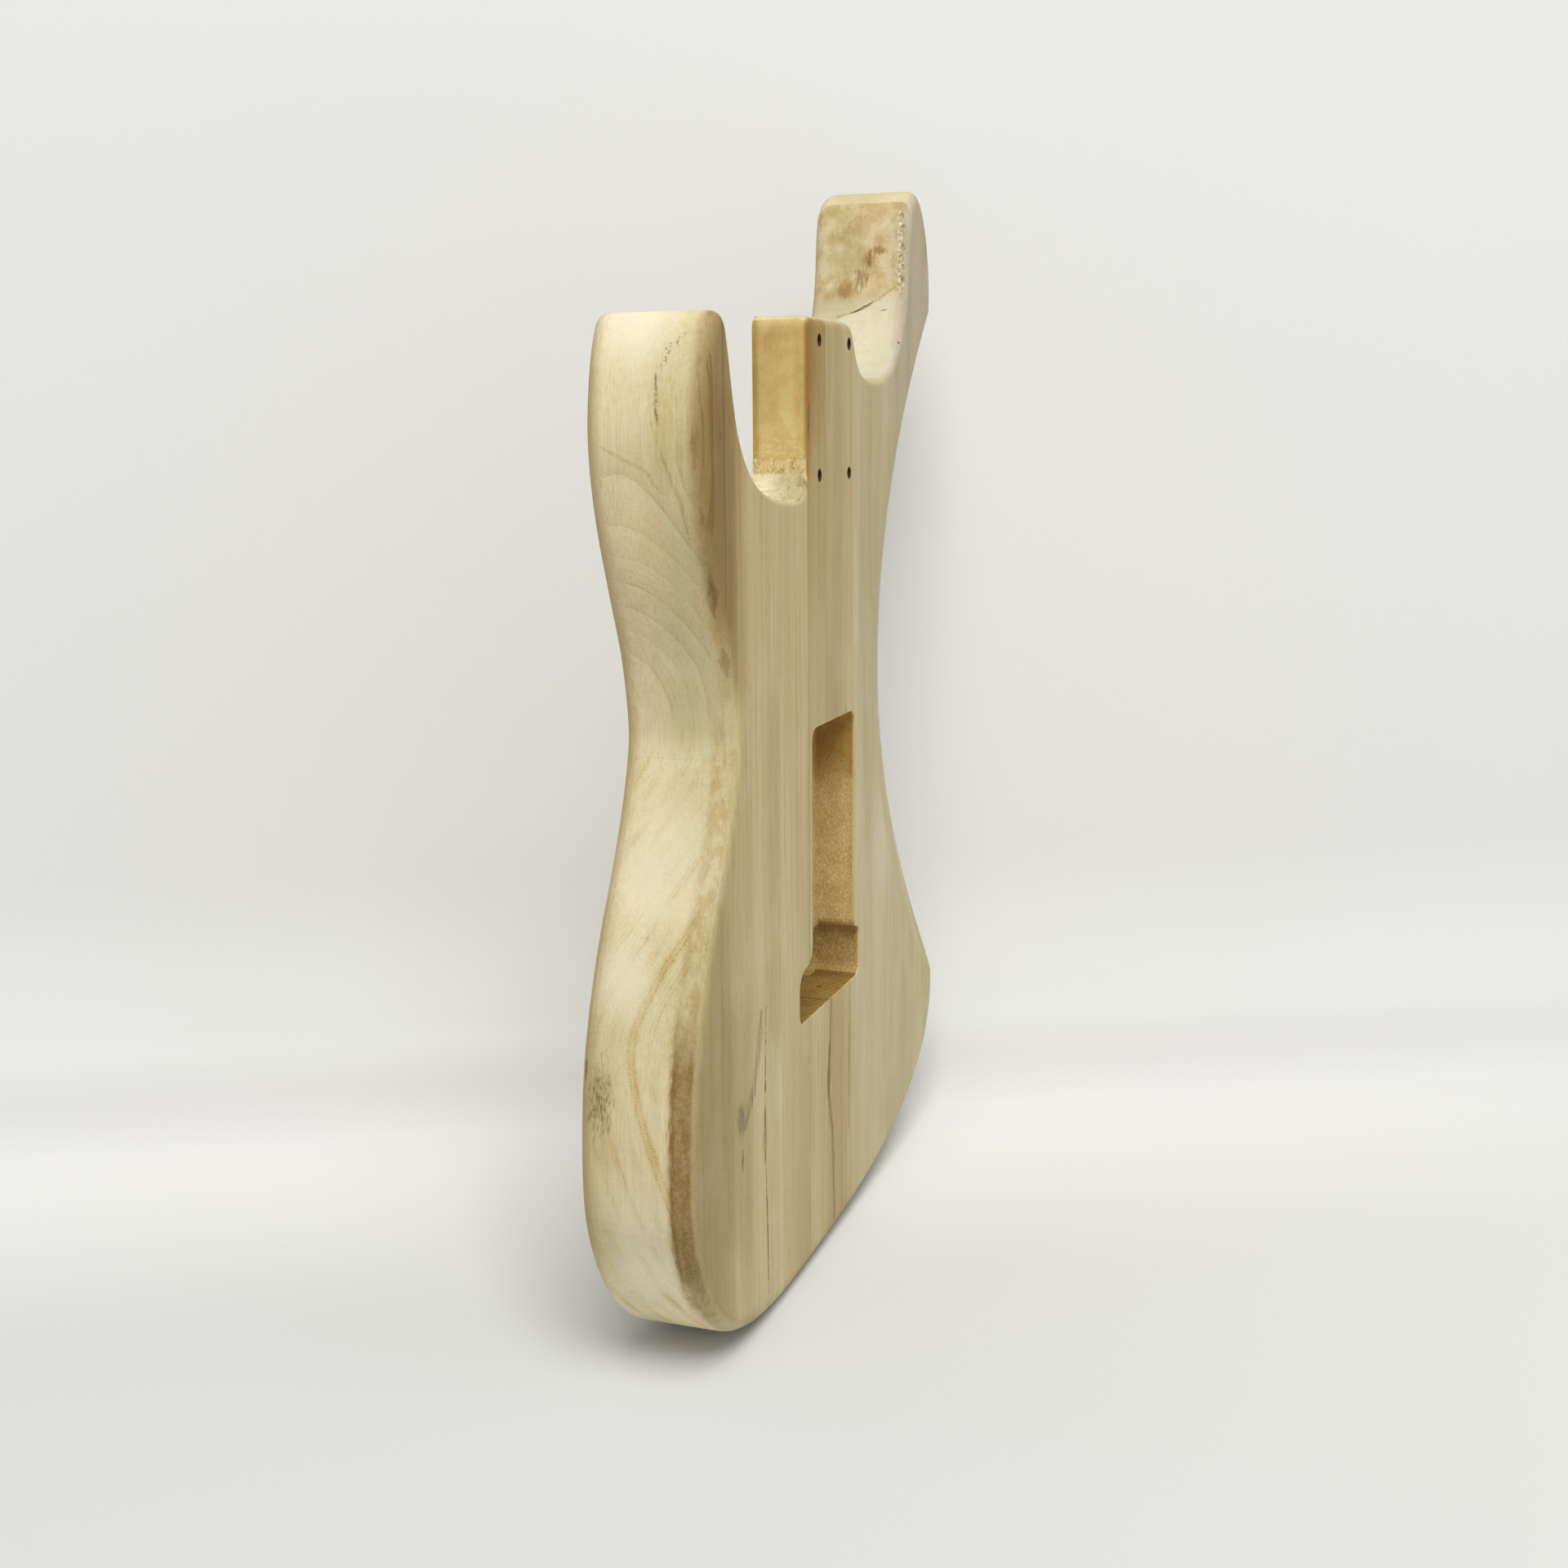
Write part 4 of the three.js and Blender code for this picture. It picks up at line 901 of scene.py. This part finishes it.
def horn_cutters(plank, draw):
    """The short crack and the pits on the treble horn's side."""
    crack = [(-136.6, -4.2, 356.6), (-138.0, -5.0, 350), (-138.8, -4.6, 345), (-139.4, -6.2, 339)]
    cutters = [blade(plank, crack[:2], 0.7, 1.2, draw), blade(plank, crack[2:], 0.8, 1.4, draw)]
    for place in ((-137.6, -4.2, 352.6), (-138.6, -6.0, 347), (-139.5, -5.0, 336.6), (-131.3, -13.0, 369.2),
                  (-132.4, -10.6, 367), (-133.7, -7.7, 364.3), (-134.6, -7.2, 361.4), (-135.7, -5.8, 358.6)):
        end = Vector(place) + Vector((0, draw.uniform(-0.7, 0.7), draw.uniform(-2.6, -1.4)))
        cutters.append(blade(plank, [place, end], draw.uniform(0.5, 0.9), draw.uniform(0.7, 1.1), draw))
    return cutters


def outer_cutters(plank, draw):
    """The long crack in the back of the treble outer plank, in two lengths."""
    upper = [(x, BACK, z) for x, z in ((-84.9, 126), (-85.7, 112), (-86.4, 98), (-87.2, 80))]
    lower = [(x, BACK, z) for x, z in ((-87.2, 78), (-86.2, 58), (-85.3, 40), (-84.2, 12))]
    return [blade(plank, upper, 1.2, 2.6, draw), blade(plank, lower, 0.8, 1.8, draw)]


def strip_cutters(plank, draw):
    """The open glue line beside the heel."""
    return [blade(plank, [(-31.5, BACK, 347), (-31.7, BACK, 333)], 0.6, 1.6, draw)]


def centre_cutters(plank, draw):
    """The torn tip at the top of the spring cavity."""
    return [blade(plank, [(14.7, BACK, 225.6), (15.4, BACK, 222.2)], 1.7, 2.2, draw)]


def bass_cutters(plank, draw):
    """The crack across the bass horn's inner face, and the chips along its edge."""
    cutters = [
        blade(plank, [(101.2, 3.2, 387.4), (102.2, -2, 389.5), (103.4, -7.4, 392.8)], 0.9, 2.0, draw),
        blade(plank, [(101.6, -10.6, 388.6), (101.8, -14.2, 389.0)], 0.6, 1.0, draw),
    ]
    for place in ((108.9, -18.4, 429), (108.4, -19.2, 424), (107.6, -19.4, 415.5), (107.2, -19.0, 411),
                  (106.6, -19.6, 406.5), (105.9, -19.8, 401.5)):
        cutters.append(chip(plank, place, (0.8, draw.uniform(0.8, 1.3), draw.uniform(1.2, 2.3)), draw))
    return cutters


def splinters(name, plank, spots, sizes, material, draw):
    """Torn fibres that stand out of the wood, each a closed sliver sunk into it at its root."""
    length, girth, rise = sizes
    surface_tree = surface_of(plank)
    vertices, faces = [], []
    for spot in spots:
        surface, normal = surface_tree.find_nearest(Vector(spot) * MM)[:2]
        grain = Vector((0, 0, 1)) - normal * normal.z
        grain = grain.normalized() if grain.length > 0.3 else Vector((1, 0, 0)) - normal * normal.x
        side = normal.cross(grain).normalized()
        lean = draw.uniform(-0.5, 0.5)
        long = draw.uniform(0.5, 1.0) * length * MM
        wide = draw.uniform(0.6, 1.2) * girth * MM
        root = surface - normal * FIBRE_ROOT * MM
        swept = (grain * draw.choice((-1, 1)) + side * lean) * long
        tip = surface + swept + normal * draw.uniform(0.5, 1.0) * rise * MM
        first = len(vertices)
        vertices += [root + side * wide, root - side * wide, root + normal * (wide + FIBRE_ROOT * MM), tip]
        faces += [tuple(first + corner for corner in face) for face in SLIVER_FACES]
    piece = add_mesh(name, vertices, faces)
    face_outward(piece)
    piece.data.materials.append(material)
    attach(piece, "root")


def scatter(count, low, high, draw):
    return [tuple(draw.uniform(low[axis], high[axis]) for axis in range(3)) for _ in range(count)]


def fibre_wood():
    """Torn fibres: fresh pale wood."""
    wood = Wood("torn_fibre_wood", 12.0)
    tone = wood.mottle(0.4, 15.0, detail=3.0)
    wood.colour = wood.mix(wood.step(tone, 0.35, 0.65), FIBRE_DULL, CREAM)
    wood.height = wood.grain(3.0, 0.4, 16.0, detail=3.0)
    return wood.finish(0.7)


def build_object():
    makers = {
        "treble_horn_wing": horn_cutters,
        "treble_outer_plank": outer_cutters,
        "heel_strip": strip_cutters,
        "centre_plank": centre_cutters,
        "bass_outer_plank": bass_cutters,
    }
    for name, material in build_materials().items():
        if name in makers:
            cut_plank(name, makers[name](surface_of(name), random.Random(len(name))), material)
        else:
            dress(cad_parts[name], material)
    draw = random.Random(FIBRE_SEED)
    fibres = fibre_wood()
    for name, plank, slot, count, low, high, sizes in FIBRE_SETS:
        splinters(name, plank, scatter(count, low, high, draw), sizes, fibres, draw)


# Backdrop, in metres: a wall that rises from the floor just behind the bass edge
WALL_DEPTH = 0.94
WALL_TURN = 0.145
WALL_REACH = 4.0
WALL_HEIGHT = 3.0
WALL_CLEAR = 0.0003
COVE_RADIUS = 0.045
COVE_STEPS = 16
FLOOR_REACH = 6.0
FLOOR_TONE = srgb(219, 220, 218)
# Lighter tones to one side of the floor, towards the wall's foot and low on the wall: painted light
FLOOR_ASIDE_PAINTED_LIGHT = srgb(231, 231, 228)
FLOOR_EDGE_PAINTED_LIGHT = srgb(238, 238, 236)
WALL_TONE = srgb(244, 244, 243)
WALL_LOW_PAINTED_LIGHT = srgb(251, 252, 251)
WALL_FOOT = srgb(239, 239, 238)
PAPER_CLOUD = srgb(205, 206, 204)


def paper(name, tone, blends, one_sided):
    """Matt pale paper that blends to other tones along given axes, used here to paint light on it; the wall
    is clear from behind.
    """
    sheet = Shader(name)
    metres = sheet.add("TexCoord").outputs["Object"]
    clouds = sheet.noise(sheet.vector_math("MULTIPLY", metres, (1.3, 1.3, 1.3)))
    colour = tone
    for axis, start, end, other in blends:
        reach = sheet.vector_math("DOT_PRODUCT", metres, tuple(axis))
        colour = sheet.mix(sheet.step(reach, start, end), colour, other)
    colour = sheet.mix(sheet.math("MULTIPLY", clouds, 0.06), colour, PAPER_CLOUD)
    surface = sheet.add("BsdfDiffuse", {"Color": colour, "Roughness": 1.0}).outputs[0]
    if one_sided:
        clear = sheet.add("BsdfTransparent").outputs[0]
        behind = sheet.add("NewGeometry").outputs["Backfacing"]
        surface = sheet.add("MixShader", {0: behind, 1: surface, 2: clear}).outputs[0]
    return sheet.output(surface)


def build_stage():
    corners = [(x * FLOOR_REACH, y * FLOOR_REACH, 0) for x, y in ((-1, -1), (1, -1), (1, 1), (-1, 1))]
    floor = add_mesh("floor", corners, [(0, 1, 2, 3)])

    level = Vector((-CAMERA_BACK.x, -CAMERA_BACK.y, 0)).normalized()
    foot = Vector((CAMERA_PLACE.x, CAMERA_PLACE.y, WALL_CLEAR)) + level * WALL_DEPTH
    away = Matrix.Rotation(WALL_TURN, 3, "Z") @ level
    along = Vector((away.y, -away.x, 0))
    edge = foot.dot(away) - COVE_RADIUS
    middle = foot.dot(along)
    # Brighter to one side and towards the wall's foot: painted light
    floor_blends = [(along, middle - 0.1, middle + 0.45, FLOOR_ASIDE_PAINTED_LIGHT),
                    (away, edge - 0.2, edge - 0.02, FLOOR_EDGE_PAINTED_LIGHT)]
    floor.data.materials.append(paper("floor_paper", FLOOR_TONE, floor_blends, False))
    turns = [math.radians(90) * index / COVE_STEPS for index in range(COVE_STEPS + 1)]
    profile = [((math.sin(turn) - 1) * COVE_RADIUS, (1 - math.cos(turn)) * COVE_RADIUS) for turn in turns]
    profile.append((0.0, WALL_HEIGHT))
    vertices = []
    for depth, height in profile:
        for side in (-1, 1):
            vertices.append(foot + away * depth + along * side * WALL_REACH + Vector((0, 0, height)))
    faces = [(2 * row, 2 * row + 1, 2 * row + 3, 2 * row + 2) for row in range(len(profile) - 1)]
    wall = add_mesh("backdrop", vertices, faces)
    wall.data.shade_smooth()
    if wall.data.polygons[len(profile) - 2].normal.dot(away) > 0:
        wall.data.flip_normals()
    upright = (0.0, 0.0, 1.0)
    # Brighter low on the wall, easing to the floor's edge tone at its foot: painted light
    wall_blends = [(upright, 0.13, 0.05, WALL_LOW_PAINTED_LIGHT), (upright, 0.045, 0.012, WALL_FOOT)]
    wall.data.materials.append(paper("backdrop_paper", WALL_TONE, wall_blends, True))
    for ray in ("diffuse", "glossy", "transmission", "shadow"):
        setattr(wall, "visible_" + ray, False)


# Light: an even white world and a large soft lamp above the camera
WORLD_STRENGTH = 0.46
KEY_PLACE = Vector((-1.02, -0.46, 1.86))
KEY_TARGET = Vector((0.0, 0.0, 0.22))
KEY_SIZE = 1.1
KEY_POWER = 28.5
KEY_TONE = (1.0, 0.995, 0.98)


def build_lights():
    world = bpy.data.worlds.new("studio")
    world.use_nodes = True
    background = world.node_tree.nodes["Background"]
    background.inputs["Color"].default_value = (1.0, 1.0, 1.0, 1.0)
    background.inputs["Strength"].default_value = WORLD_STRENGTH
    bpy.context.scene.world = world

    light = bpy.data.lights.new("key", "AREA")
    light.size = KEY_SIZE
    light.energy = KEY_POWER
    light.color = KEY_TONE
    lamp = add_object("key", light)
    lamp.location = KEY_PLACE
    lamp.rotation_euler = (KEY_TARGET - KEY_PLACE).to_track_quat("-Z", "Y").to_euler()


def build_camera():
    lens = bpy.data.cameras.new("photo_camera")
    lens.lens = LENS_MM
    lens.sensor_width = SENSOR_MM
    lens.sensor_fit = "HORIZONTAL"
    camera = add_object("photo_camera", lens)
    turn = Matrix((CAMERA_RIGHT, CAMERA_UP, CAMERA_BACK)).transposed().to_4x4()
    camera.matrix_world = Matrix.Translation(CAMERA_PLACE) @ turn
    bpy.context.scene.camera = camera


build_camera()
build_object()
build_stage()
build_lights()
bpy.context.scene.view_settings.view_transform = "Standard"
